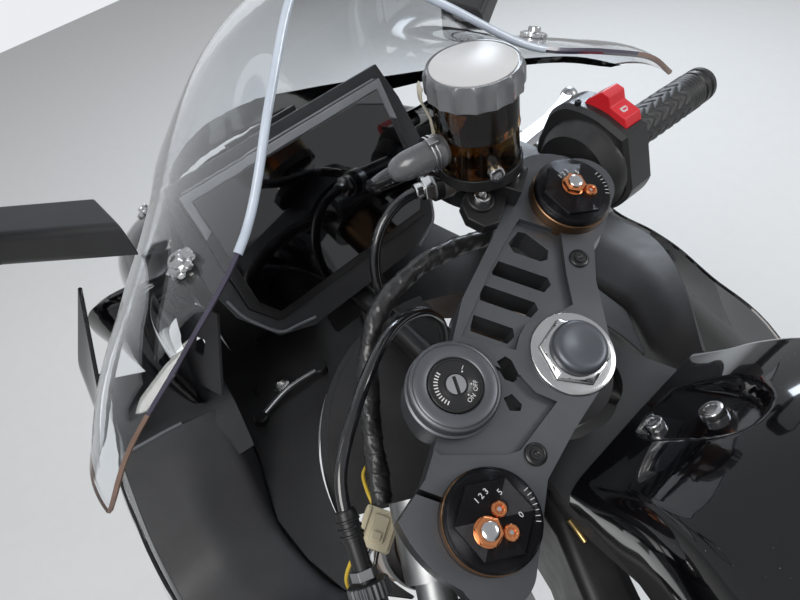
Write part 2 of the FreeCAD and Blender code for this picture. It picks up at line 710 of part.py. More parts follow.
def make_perch(label, sign, *extras):
    inner = size.bar_radius + size.clamp_fit
    frame = perch_frame(sign)
    half = size.perch_thick / 2
    pin_at = (size.pin_ahead, size.pin_out)
    ring = cylinder(label + "_ring", inner + 7, size.perch_width, on_bar(sign, out=size.perch_start))
    arm_path = [
        (10, 0), (10, 18.5), (28, 18.5), (35, 23.5), (size.pin_ahead + 4, 23.5),
        (size.pin_ahead + 10, 1.5, size.pin_ahead + 12, 13.5), (44, -8.5), (30, -2),
    ]
    arm = slab(label + "_arm", frame * Placement(Vector(0, 0, -half), Rotation()), size.perch_thick, arm_path,
               LengthFwd="Sizes.perch_thick")
    slot = block(label + "_slot", 40, 40, size.lever_thick + 0.6,
                 frame * Placement(Vector(58, 18.5, 0), Rotation()))
    pin = cylinder(label + "_pin", size.pin_radius, size.perch_thick,
                   frame * Placement(Vector(*pin_at, -half), Rotation()),
                   Radius="Sizes.pin_radius", Height="Sizes.perch_thick")
    bore = cylinder(label + "_bore", inner, size.perch_width + 4, on_bar(sign, out=size.perch_start - 2))
    shell = cut(label + "_shell", fuse(label + "_solid", ring, arm, *extras), bore, slot)
    finish(fuse(label + "_whole", shell, pin), label, STEERING)


def make_perches():
    frame = perch_frame(-1)
    inner_end = frame.multVec(Vector(70, -60.5, 0))
    outer_end = frame.multVec(Vector(52, 1.5, 0))
    run = outer_end - inner_end
    barrel = cylinder("master_barrel", 11, run.Length, along(run, inner_end))
    collar = cylinder("master_collar", 12.5, 8, along(run, inner_end))
    hose_end = Vector(*RESERVOIR_HOSE[-1])
    hose_run = (hose_end - Vector(*RESERVOIR_HOSE[-2])).normalize()
    spigot = cylinder("master_spigot", 5.5, 20, along(hose_run, hose_end + hose_run * 0.3))
    make_perch("brake_master", -1, barrel, collar, spigot)
    root = Vector(54.2, 174.5, -50.4)
    tip = Vector(*CLUTCH_CABLE[0])
    run = tip - root
    adjuster = cylinder("adjuster", 5.5, run.Length - 0.3, along(run, root))
    wheel = cylinder("adjuster_wheel", 11, 7, along(run, root + run.normalize() * 22))
    make_perch("clutch_perch", 1, adjuster, wheel)


def make_lever(label, sign):
    outline = [
        (45, 7.5), (60, 7.5, size.pin_ahead, 1.9), (63, 19.5), (65, 47.5), (68, 75.5), (76, 105.5),
        (84, 123.5),
        (73, 123.5), (64, 97.5), (56, 73.5), (53, 45.5), (49, 19.5),
    ]
    frame = perch_frame(sign)
    eye = ring_path(size.pin_radius + 0.1, (size.pin_ahead, size.pin_out))
    blade = slab(label + "_blade", frame * Placement(Vector(0, 0, -size.lever_thick / 2), Rotation()),
                 size.lever_thick,
                 outline, eye, LengthFwd="Sizes.lever_thick")
    ball = doc.addObject("Part::Sphere", label + "_ball")
    ball.Radius = 8
    ball.Placement = frame * Placement(Vector(78, 123.5, 0), Rotation())
    finish(fuse(label + "_whole", blade, ball), label, STEERING)


def make_reservoir():
    level = Rotation(Z_AXIS, -size.lock) * Rotation(Y_AXIS, size.rake)
    spot = Placement(Vector(size.bottle_ahead, -size.bottle_right, size.bottle_rise), level)
    height = size.bottle_height
    radius = size.bottle_radius
    body_profile = [
        (0, -height), (radius - 5, -height), (radius - 1, -height + 4), (radius, -height + 8), (radius, -3),
        (radius - 1, 0),
        (radius - 3, 0), (radius - 3, -height + 6), (0, -height + 6),
    ]
    bottle = turned("bottle", body_profile)
    finish(bottle, "brake_reservoir", STEERING * spot)
    top = size.bottle_cap_height
    cap_radius = size.bottle_cap_radius
    cap_profile = [
        (0, 0.2), (cap_radius - 1, 0.2), (cap_radius, 2), (cap_radius, top - 5), (cap_radius - 4, top),
        (cap_radius - 6, top),
        (cap_radius - 7, top - 1), (0, top - 1),
    ]
    finish(turned("lid", cap_profile), "reservoir_cap", STEERING * spot)
    foot = block("bracket_foot", 46, 22, 16, Placement(Vector(80, -99, 8 + size.clamp_fit), Rotation()))
    seat = cylinder("bracket_seat", 40, 80, spot * Placement(Vector(0, 0, -height - 0.2), Rotation()))
    finish(cut("bracket", foot, seat), "reservoir_bracket", STEERING)


# Main frame: head tube, two box spars that spread round the tank, pivot plates and cross tubes
def make_frame():
    depth = size.lower_top - size.clamp_thick - 2 * size.head_clearance
    head = cylinder("head", size.head_radius, depth,
                    UPRIGHT * Placement(Vector(0, 0, -size.clamp_thick - size.head_clearance - depth),
                                        Rotation()),
                    Radius="Sizes.head_radius")
    head_bore = cylinder("head_bore", size.stem_radius + 0.3, depth + 20,
                         UPRIGHT * Placement(Vector(0, 0, -size.clamp_thick - depth - 10), Rotation()))
    # station columns: ahead of the pivot, out from the middle, above the pivot, width, height
    stations = (
        (size.stem_ahead + 35, 27, size.stem_up - 121, 34, 126),
        (size.stem_ahead - 45, 52, size.stem_up - 126, 34, 124),
        (size.stem_ahead - 150, 104, size.stem_up - 165, 36, 150),
        (215, size.plate_half, 245, 34, 128),
        (65, size.plate_half, 100, size.plate_thick, 150),
    )
    pieces = [head]
    for side, sign in SIDES:
        planes = [across_at(station[0]) for station in stations]
        outlines = [
            rounded_box_path((station[1] * sign, station[2]), station[3], station[4], 9)
            for station in stations
        ]
        pieces.append(station_loft(f"spar_{side}", planes, outlines))
        plate_path = [
            (110, 215), (-10, 150), (-52, 60), (-60, -30), (-48, -130), (20, -150), (52, -110), (48, 20),
            (110, 60),
        ]
        out = size.plate_half * sign + size.plate_thick / 2
        pieces.append(slab(f"pivot_plate_{side}", Placement(Vector(0, out, 0), Rotation(X_AXIS, 90)),
                           size.plate_thick, plate_path,
                           LengthFwd="Sizes.plate_thick"))
        ahead = size.engine_front_ahead
        low = size.engine_front_up - size.engine_radius - 12
        root = size.stem_up - 210
        lug_path = [(ahead + 40, root), (ahead - 40, root), (ahead - 20, low), (ahead + 20, low)]
        pieces.append(slab(f"engine_lug_{side}",
                           Placement(Vector(0, 92 * sign + 12, 0), Rotation(X_AXIS, 90)), 24, lug_path))
    reach = 2 * size.plate_half
    crosses = (
        ("upper_cross", 20, 130, 22),
        ("lower_cross", -size.engine_rear_back, -size.engine_rear_down, 20),
    )
    for name, ahead, up, radius in crosses:
        pieces.append(cylinder(name, radius, reach,
                               Placement(Vector(ahead, -size.plate_half, up), Rotation(X_AXIS, -90))))
    solid = fuse("frame_solid", *pieces)
    pivot = cylinder("pivot_bore", size.pivot_radius, 400, Placement(Vector(0, 200, 0), Rotation(X_AXIS, 90)),
                     Radius="Sizes.pivot_radius")
    front_mount = cylinder("engine_bore", size.engine_radius, 400,
                           Placement(Vector(size.engine_front_ahead, 200, size.engine_front_up),
                                     Rotation(X_AXIS, 90)),
                           Radius="Sizes.engine_radius")
    rear_mount = cylinder("engine_bore_rear", size.engine_radius, 400,
                          Placement(Vector(-size.engine_rear_back, 200, -size.engine_rear_down),
                                    Rotation(X_AXIS, 90)),
                          Radius="Sizes.engine_radius")
    finish(cut("frame_cut", solid, head_bore, pivot, front_mount, rear_mount), "frame")


def make_frame_cover():
    top = -size.cover_top
    plate_path = [(-30, -56), (-30, 56), (-46, 60), (-100, 62), (-100, -62), (-46, -60)]
    thick = 20.8
    plate = slab("cover_plate", FROM_STEM * Placement(Vector(0, 0, top - thick), Rotation()), thick,
                 plate_path)
    horn_path = [
        (4, 48), (-31, 56), (-31, -56), (4, -48), (4, -38), (-27, -12, -16, -32), (-27, 12, -30, 0),
        (4, 38, -16, 32),
    ]
    horns = slab("cover_horns", FROM_STEM * Placement(Vector(0, 0, top - 13), Rotation()), 13, horn_path)
    finish(fuse("cover", plate, horns), "frame_cover")


# Fuel tank: smooth loft from a blunt nose to the seat, closed below, with a scoop for its front fixings
def make_tank():
    # station columns: ahead of the stem's top, half width and height of the foot, of the side's top and of the crown,
    # then the crown's height
    stations = (
        (-46, 60, -60, 61, -26, 50, -15, -13),
        (-60, 62, -60, 64, -20, 54, 0, 4),
        (-76, 65, -62, 66.5, -8, 56, 20, 25),
        (-94, 69, -66, 71, 0, 59, 35, 42),
        (-125, 80, -80, 84, 6, 64, 50, 60),
        (-180, 104, -110, 112, 6, 74, 64, 77),
        (-260, 128, -150, 146, -10, 84, 64, 84),
        (-350, 120, -170, 138, -26, 82, 44, 66),
        (-430, 96, -180, 106, -50, 70, 2, 22),
        (-480, 62, -180, 66, -76, 46, -44, -30),
    )
    bite = 1 - math.sqrt(0.5)
    zero = size.stem_up
    planes = []
    outlines = []
    for ahead, foot_half, foot, side_half, side, crown_half, edge, crown in stations:
        turn_half = side_half - bite * (side_half - crown_half)
        turn = zero + edge - bite * (edge - side)
        planes.append(across_at(size.stem_ahead + ahead))
        outlines.append([
            (foot_half, zero + foot), (side_half, zero + side), (crown_half, zero + edge, turn_half, turn),
            (-crown_half, zero + edge, 0, zero + crown), (-side_half, zero + side, -turn_half, turn),
            (-foot_half, zero + foot),
        ])
    shell = station_loft("tank_loft", planes, outlines, ruled=False)
    # side view of the room over the frame cover and the spars
    seat = size.cover_top - 0.3
    keep_path = [
        (-20, seat), (-104, seat), (-130, 60), (-220, 110), (-330, 150), (-520, 165), (-520, -160),
        (-20, -160),
    ]
    keep = slab("tank_keep", FROM_STEM * Placement(Vector(0, -200, 0), Rotation(X_AXIS, -90)), 400, keep_path)
    body = doc.addObject("Part::Common", "tank_body")
    body.Base = shell
    body.Tool = keep
    slope = FROM_STEM * Placement(Vector(-52, 0, 6), Rotation(Y_AXIS, 40))
    scoop_path = [
        (-50, -14, -60, 0), (-24, -20), (4, -22), (14, -14, 12, -20), (14, 14, 17, 0), (4, 22, 12, 20),
        (-24, 20), (-50, 14),
    ]
    scoop = slab("tank_scoop", slope * Placement(Vector(0, 0, -10), Rotation()), 60, scoop_path)
    finish(cut("tank", body, scoop), "fuel_tank")


# Instruments: tilted glass in a shallow housing
def dash_place(depth=0.0):
    tilt = math.radians(size.dash_tilt)
    up = Vector(math.cos(tilt), 0, math.sin(tilt))
    facing = Vector(-math.sin(tilt), 0, math.cos(tilt))
    centre = STEM_TOP + Vector(size.dash_ahead, 0, -size.dash_below) - facing * depth
    return Placement(centre, Rotation(Vector(0, -1, 0), up, facing, "ZXY"))


def clipped_path(width, height, notch_across, notch_up):
    """Rectangle with its two lower corners clipped."""
    half = width / 2
    tall = height / 2
    return [
        (half, -tall + notch_up), (half, tall), (-half, tall), (-half, -tall + notch_up),
        (-half + notch_across, -tall), (half - notch_across, -tall),
    ]


def make_dash():
    glass = slab("glass", dash_place(3.0), 3.0, clipped_path(size.dash_width, size.dash_height, 12, 18))
    finish(glass, "dash_glass")
    rim = size.dash_rim
    tray = slab("tray", dash_place(3.2 + size.dash_depth), size.dash_depth,
                clipped_path(size.dash_width + 2 * rim, size.dash_height + 2 * rim, 16, 24),
                LengthFwd="Sizes.dash_depth")
    finish(tray, "dash_housing")
    surround_path = [
        (91, -76), (112, -42), (118, -8), (114, 40), (106, 74), (-106, 74), (-114, 40), (-118, -8),
        (-112, -42),
        (-91, -76), (-60, -88), (60, -88),
    ]
    opening = clipped_path(size.dash_width + 2 * rim + 0.6, size.dash_height + 2 * rim + 0.6, 16, 24)
    surround = slab("surround", dash_place(12), 5, surround_path, opening)
    finish(surround, "dash_surround")


def make_windscreen():
    # rib columns: rear edge, belly and lower edge, each ahead, out and above the stem's top
    ribs = (
        ((182, 0, 190), (330, 0, 110), (440, 0, -20)),
        ((173, 25, 180), (322, 34, 106), (436, 36, -20)),
        ((151, 64, 150), (292, 78, 88), (404, 84, -12)),
        ((124, 113, 109), (230, 124, 82), (320, 116, 14)),
        ((106, 167, 86), (176, 170, 74), (248, 160, 34)),
        ((97, 216, 62), (138, 214, 62), (176, 202, 44)),
        ((92, 243, 38), (114, 240, 43), (138, 230, 38)),
    )
    finish(skin("screen", both_sides(ribs), size.screen_wall), "windscreen")


def make_upper_cowl():
    # rib columns: top edge under the screen, brow and chin, each ahead, out and above the stem's top
    ribs = (
        ((434, 0, -27.5), (484, 0, -80), (448, 0, -160)),
        ((430, 36, -27.5), (476, 42, -80), (440, 46, -160)),
        ((400, 82, -19.5), (444, 104, -76), (410, 112, -156)),
        ((316, 112, 6.5), (368, 158, -46), (336, 164, -130)),
        ((246, 156, 26.5), (304, 196, -16), (306, 196, -60)),
    )
    finish(skin("nose", both_sides(ribs), size.cowl_wall), "upper_cowl")


def make_mirrors():
    arms = []
    heads = []
    glasses = []
    for side, sign in SIDES:
        base = STEM_TOP + Vector(226, 152.3 * sign, 85)
        knee = STEM_TOP + Vector(250, 214 * sign, 108)
        outer = STEM_TOP + Vector(212, 262 * sign, 143.7)
        planes = []
        for point, width, height in ((base, 44, 26), (knee, 40, 24), (outer, 30, 20)):
            planes.append((point, width, height))
        sections = []
        for index, (point, width, height) in enumerate(planes):
            turn = Rotation(Vector(1, 0, 0), Vector(0, 0, 1), Vector(0, -1, 0), "ZXY")
            sections.append(sketch_on(f"arm_{side}_{index}", Placement(point, turn),
                                      rounded_box_path((0, 0), width, height, 6)))
        arm = doc.addObject("Part::Loft", f"arm_{side}")
        arm.Sections = sections
        arm.Solid = True
        arm.Ruled = True
        arms.append(arm)
        centre = STEM_TOP + Vector(204, 280 * sign, 196)
        facing = Rotation(Vector(0, -1, 0), Vector(0, 0, 1), Vector(-1, 0, 0), "ZXY")
        tilt = Rotation(Z_AXIS, -12 * sign) * facing
        shell_path = rounded_box_path((0, 0), 150, 84, 26)
        shell = slab(f"head_{side}", Placement(centre, tilt) * Placement(Vector(0, 0, -24), Rotation()), 30,
                     shell_path)
        seat = slab(f"head_seat_{side}", Placement(centre, tilt) * Placement(Vector(0, 0, 2), Rotation()), 10,
                    rounded_box_path((0, 0), 142, 76, 22))
        heads.append(cut(f"mirror_head_{side}", shell, seat))
        glasses.append(slab(f"mirror_glass_{side}",
                            Placement(centre, tilt) * Placement(Vector(0, 0, 2.2), Rotation()), 2.5,
                            rounded_box_path((0, 0), 141, 75, 21.5)))
    finish(group("arms", *arms), "mirror_arms")
    finish(group("mirror_heads_pair", *heads), "mirror_heads")
    finish(group("mirror_glass_pair", *glasses), "mirror_glasses")


def make_stay():
    """Tubes from the head tube to the instruments and the nose."""
    foot = cylinder("stay_tube", 11, 166, along(Vector(1, 0, 0.25), STEM_TOP + Vector(84, 0, -154)))
    plate = block("stay_plate", 8, 200, 70,
                  dash_place(3.5 + size.dash_depth + 4) * Placement(Vector(0, -25, 0), Rotation(Y_AXIS, 90)))
    cross = cylinder("stay_cross", 7, 306,
                     Placement(STEM_TOP + Vector(304, -153, -30), Rotation(X_AXIS, -90)))
    tray_foot = cylinder("stay_tray_foot", 6, size.tray_drop - size.tray_wall - 0.3 - 115,
                         along(Z_AXIS * -1, STEM_TOP + Vector(240, 0, -115)))
    posts = []
    for side, sign in SIDES:
        place = recess_place(sign)
        normal = place.Rotation.multVec(Z_AXIS)
        spot = STEM_TOP + Vector(302, 142 * sign, 0)
        skin_top = place.Base + normal * size.cowl_wall
        level = skin_top.z - (normal.x * (spot.x - skin_top.x) + normal.y * (spot.y - skin_top.y)) / normal.z
        lift = 4 * math.hypot(normal.x, normal.y) / normal.z + 0.3
        spot.z = level + lift
        posts.append(cylinder(f"stay_post_{side}", 4, STEM_TOP.z - 30 - spot.z, Placement(spot, Rotation())))
    head_room = cylinder("stay_head_room", size.head_radius, 200,
                         UPRIGHT * Placement(Vector(0, 0, -200), Rotation()))
    finish(cut("stay", fuse("stay_solid", foot, plate, cross, tray_foot, *posts), head_room), "fairing_stay")


def make_cowl_stays():
    """Bars from the frame's spars to the side cowls."""
    bars = [
        cylinder(f"cowl_stay_{side}", 6, 142.2,
                 along(Y_AXIS * sign, STEM_TOP + Vector(-60, 79.9 * sign, -178)))
        for side, sign in SIDES
    ]
    finish(group("cowl_stay_pair", *bars), "cowl_stays")


def make_nose_tray():
    """Flat tray that closes the nose between the inner panels, with a collar round the fork's room."""
    half = [
        (20, 146), (60, 178), (98, 184.4), (141, 184.2), (180, 171.4), (204, 162.6), (228, 157.6), (300, 152),
        (410, 96), (432, 40),
    ]
    outline = [(ahead, -out) for ahead, out in half] + half[::-1]
    low = FROM_STEM * Placement(Vector(0, 0, -size.tray_drop), Rotation())
    tray = slab("nose_floor", low, size.tray_wall, outline, LengthFwd="Sizes.tray_wall")
    foot = UPRIGHT * Placement(Vector(0, 0, -300), Rotation())
    collar = cylinder("nose_collar", size.fork_room + 3, 200, foot, Radius="Sizes.fork_room + 3")
    over = block("collar_over", 600, 600, 200, low * Placement(Vector(100, 0, 102), Rotation()))
    rear = block("collar_rear", 400, 600, 600, UPRIGHT * Placement(Vector(-180, 0, -200), Rotation()))
    lip = cut("nose_lip", collar, over, rear)
    room = cylinder("nose_room", size.fork_room, 320, UPRIGHT * Placement(Vector(0, 0, -320), Rotation()),
                    Radius="Sizes.fork_room")
    finish(cut("nose_tray_cut", fuse("nose_solid", tray, lip), room), "nose_tray")


def make_yoke_cover():
    """Splash plate ahead of the lower clamp."""
    web = size.fork_offset + 12.3
    outline = [
        (web + 4.2, -75), (92, -107), (92, 107, 143, 0), (web + 4.2, 75), (web, 0),
    ]
    plate = slab("splash_plate", Placement(Vector(0, 0, -size.lower_top - 12), Rotation()), 5, outline)
    finish(plate, "yoke_cover", STEERING)


def make_headlamps():
    """Twin lamp bodies behind the nose, each with its lens."""
    bodies = []
    for side, sign in SIDES:
        planes = [across_at(size.stem_ahead + ahead) for ahead in (300, 380, 412)]
        zero = size.stem_up - 112
        outlines = [
            rounded_box_path((74 * sign, zero), width, height, 12)
            for width, height in ((96, 74), (84, 62), (66, 46))
        ]
        lamp = station_loft(f"lamp_{side}", planes, outlines)
        foot = block(f"lamp_foot_{side}", 70, 40, 22,
                     FROM_STEM * Placement(Vector(345, 74 * sign, -156.7), Rotation()))
        bodies.append(fuse(f"lamp_whole_{side}", lamp, foot))
    finish(group("lamp_pair", *bodies), "headlamps")


def recess_place(sign):
    """Plane of a recessed panel: origin at its first corner, x along its inner edge."""
    points = [STEM_TOP + Vector(ahead, out * sign, up) for ahead, out, up in RECESS_CORNERS]
    inner_edge = (points[1] - points[0]).normalize()
    normal = inner_edge.cross(points[3] - points[0]).normalize()
    if normal.z < 0:
        normal = normal * -1
    return Placement(points[0], Rotation(inner_edge, Vector(), normal, "ZXY"))


def make_recess_panels():
    """Recessed panels between the instruments and the inner panels, each with a square opening."""
    halves = []
    for side, sign in SIDES:
        place = recess_place(sign)
        back = place.inverse()
        flat = [back.multVec(STEM_TOP + Vector(ahead, out * sign, up)) for ahead, out, up in RECESS_CORNERS]
        outline = [(point.x, point.y) for point in flat]
        middle = (sum(x for x, y in outline) / 4, sum(y for x, y in outline) / 4)
        halves.append(slab(f"recess_{side}", place, size.cowl_wall, outline,
                           rounded_box_path(middle, 14, 14, 2)))
    finish(group("recess_pair", *halves), "recess_panels")


def make_connector():
    body = block("connector_body", 22, 24, 16, Placement(Vector(73.6, 121.6, -82), Rotation()))
    latch = block("connector_latch", 10, 16, 4, Placement(Vector(73.6, 121.6, -72), Rotation()))
    finish(fuse("connector_solid", body, latch), "connector", STEERING)


# Hoses, cables and loom that ride on the steering
def make_cords():
    cords = (
        ("clutch_cable", 4.0, CLUTCH_CABLE),
        ("wiring_loom", 7.0, WIRING_LOOM),
        ("brake_hose", 4.5, BRAKE_HOSE),
        ("reservoir_hose", 4.5, RESERVOIR_HOSE),
    )
    for label, radius, points in cords:
        finish(cord_tube(label, radius, points), label, STEERING)


def make_panels():
    wall = size.cowl_wall
    # inner panels, station columns: ahead, then out and up of the outer edge, ridge, inner edge and foot
    inner_stations = (
        (228, (244, -88), (204, -97), (164, -112), (158, -150)),
        (180, (261, -123), (220, -124), (177, -140), (170, -186)),
        (141, (270, -154), (230, -150), (186, -163), (178, -210)),
        (98, (268, -155), (230, -153), (186, -165), (178, -214)),
        (60, (243, -145), (212, -147), (180, -162), (172, -212)),
        (18, (198, -131), (178, -138), (152, -160), (148, -206)),
        (-24, (150, -130), (144, -140), (137, -158), (134, -190)),
    )
    outer_stations = (
        (300, (190, 10), (232, -60), (220, -230)),
        (228, (247.2, -87.1), (266, -150), (240, -320)),
        (180, (264.2, -122.2), (282, -190), (246, -360)),
        (141, (273.2, -153.2), (290, -215), (250, -385)),
        (98, (271.2, -154.2), (288, -220), (248, -395)),
        (60, (256, -146), (280, -222), (244, -400)),
        (18, (244, -150), (270, -226), (240, -405)),
        (-42, (233, -160), (252, -238), (220, -400)),
        (-120, (204, -196), (222, -262), (200, -360)),
    )
    for label, stations in (("inner_panels", inner_stations), ("side_cowls", outer_stations)):
        halves = []
        for side, sign in SIDES:
            planes = [across_at(size.stem_ahead + station[0]) for station in stations]
            outlines = []
            for station in stations:
                line = [(out * sign, size.stem_up + up) for out, up in station[1:]]
                outlines.append(wall_path(line, wall * sign if label == "side_cowls" else -wall * sign))
            halves.append(station_loft(f"{label}_{side}", planes, outlines))
        finish(group(label + "_pair", *halves), label)


make_top_clamp()
make_clamp_plugs()
make_stem()
make_lower_clamp()
make_fork()
make_ignition()
make_bars()
make_switches()
make_perches()
make_lever("brake_lever", -1)
make_lever("clutch_lever", 1)
make_reservoir()
make_frame()
make_frame_cover()
make_tank()
make_dash()
make_windscreen()
make_upper_cowl()
make_mirrors()
make_stay()
make_panels()
make_cowl_stays()
make_nose_tray()
make_yoke_cover()
make_headlamps()
make_recess_panels()
make_connector()
make_cords()

doc.recompute()

faults = [item.Name for item in doc.Objects if "Invalid" in item.State or "Error" in item.State]
for item in finished:
    if item.Shape.isNull() or not item.Shape.isValid() or not item.Shape.Solids:
        faults.append(item.Label)
if faults:
    raise RuntimeError("failed objects: " + ", ".join(faults))

os.makedirs("parts", exist_ok=True)
for item in finished:
    item.Shape.exportStep(f"parts/{item.Label}.step")
print(f"{len(finished)} sub-parts, {sum(len(item.Shape.Solids) for item in finished)} solids")
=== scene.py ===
import json
import logging
import math
from dataclasses import dataclass
from enum import Enum
from typing import Callable, Sequence

import bmesh
import bpy
from mathutils import Matrix, Vector

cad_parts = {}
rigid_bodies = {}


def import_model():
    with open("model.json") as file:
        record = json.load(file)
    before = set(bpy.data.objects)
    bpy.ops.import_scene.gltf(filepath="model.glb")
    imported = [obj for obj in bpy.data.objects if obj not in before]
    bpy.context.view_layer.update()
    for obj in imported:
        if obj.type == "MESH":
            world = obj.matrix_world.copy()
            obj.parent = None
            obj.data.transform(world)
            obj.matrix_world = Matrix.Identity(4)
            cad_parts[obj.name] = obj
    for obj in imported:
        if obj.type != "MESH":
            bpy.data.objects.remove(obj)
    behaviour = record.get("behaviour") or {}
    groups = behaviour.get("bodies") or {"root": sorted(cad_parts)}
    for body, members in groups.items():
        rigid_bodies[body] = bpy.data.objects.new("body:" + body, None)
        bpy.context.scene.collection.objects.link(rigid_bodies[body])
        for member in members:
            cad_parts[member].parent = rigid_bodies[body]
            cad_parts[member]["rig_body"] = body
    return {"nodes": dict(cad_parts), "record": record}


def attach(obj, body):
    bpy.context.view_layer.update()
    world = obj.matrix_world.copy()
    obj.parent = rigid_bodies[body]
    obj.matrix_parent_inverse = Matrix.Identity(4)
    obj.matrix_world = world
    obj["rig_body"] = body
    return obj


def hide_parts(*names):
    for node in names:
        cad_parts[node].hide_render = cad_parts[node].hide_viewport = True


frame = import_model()

# Looks of a sport motorcycle's front section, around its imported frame. The row frame is in metres;
# sizes in the classes below are millimetres, and a form's place turns them into metres.

log = logging.getLogger("front_section")

MM = 0.001
LETTER_RISE = 0.12
CAD_CORNER = 32.0
CHASSIS = "chassis"
STEERING = "steering"
LEFT, RIGHT = SIDES = (1, -1)

Colour = tuple[float, float, float]
Point = tuple[float, float, float]


# Places

def shift(ahead: float, left: float, up: float) -> Matrix:
    """A move along the three axes."""
    return Matrix.Translation((ahead, left, up))


def spin(degrees: float, axis: str = "Z") -> Matrix:
    """A turn about an axis."""
    return Matrix.Rotation(math.radians(degrees), 4, axis)


def aimed(point: Sequence[float], way: Sequence[float]) -> Matrix:
    """A place at a point, its Z axis along a way."""
    return Matrix.Translation(point) @ Vector(way).to_track_quat("Z", "Y").to_matrix().to_4x4()


@dataclass(frozen=True)
class SteeringPlace:
    """Where the steering stands at rest: stem's top, lean of its axis and turn to the left stop."""

    top: Point = (545.0, 0.0, 540.0)
    rake: float = 22.6
    lock: float = 29.0
    fork_half: float = 107.0
    fork_offset: float = 24.7
    bar_drop: float = 42.0
    bar_ahead: float = 32.2
    bar_sweep: float = 31.4
    bar_droop: float = 4.0

    def upright(self) -> Matrix:
        """Row frame from stem coordinates in millimetres, before the steering turns."""
        return self.from_stem() @ spin(-self.rake, "Y")

    def turned(self) -> Matrix:
        """Row frame from steering coordinates in millimetres, at the left stop."""
        return self.upright() @ spin(self.lock)

    def from_stem(self) -> Matrix:
        """Row frame from millimetres ahead, left and above the stem's top, level."""
        return Matrix.Scale(MM, 4) @ shift(*self.top)

    def bar(self, sign: int) -> Matrix:
        """Frame on a handlebar: x ahead, y up, z outward along it from the fork tube's axis.

        Args:
            sign: LEFT or RIGHT.

        Returns:
            The matrix from that frame, in millimetres, to the row frame.
        """
        sweep = math.radians(self.bar_sweep)
        droop = math.radians(self.bar_droop)
        level = math.cos(droop)
        outward = Vector((-math.sin(sweep) * level, sign * math.cos(sweep) * level, -math.sin(droop)))
        ahead = Vector((math.cos(sweep), sign * math.sin(sweep), 0.0))
        up = outward.cross(ahead) * sign * -1.0
        if up.z < 0:
            up = -up
        axes = Matrix((ahead, up, outward)).transposed().to_4x4()
        start = Vector((self.fork_offset + self.bar_ahead, self.fork_half * sign, -self.bar_drop))
        return self.turned() @ Matrix.Translation(start) @ axes


PLACE = SteeringPlace()


# Shader maths

class Sock:
    """A number or colour that a material computes, with the arithmetic of Python."""

    def __init__(self, graph: "Graph", link: bpy.types.NodeSocket) -> None:
        """Wrap a node's output."""
        self.graph = graph
        self.link = link

    def math(self, operation: str, *others: "Sock | float") -> "Sock":
        """Add a Math node that takes this socket first."""
        return self.graph.node("ShaderNodeMath", {"operation": operation}, dict(enumerate((self, *others))))

    def __add__(self, other: "Sock | float") -> "Sock":
        """Sum."""
        return self.math("ADD", other)

    def __mul__(self, other: "Sock | float") -> "Sock":
        """Product."""
        return self.math("MULTIPLY", other)

    def sine(self) -> "Sock":
        """Sine of radians."""
        return self.math("SINE")

    def step(self, low: float, high: float) -> "Sock":
        """Smooth rise from 0 at low to 1 at high."""
        settings = {"interpolation_type": "SMOOTHSTEP"}
        return self.graph.node("ShaderNodeMapRange", settings, {0: self, 1: low, 2: high, 3: 0.0, 4: 1.0})


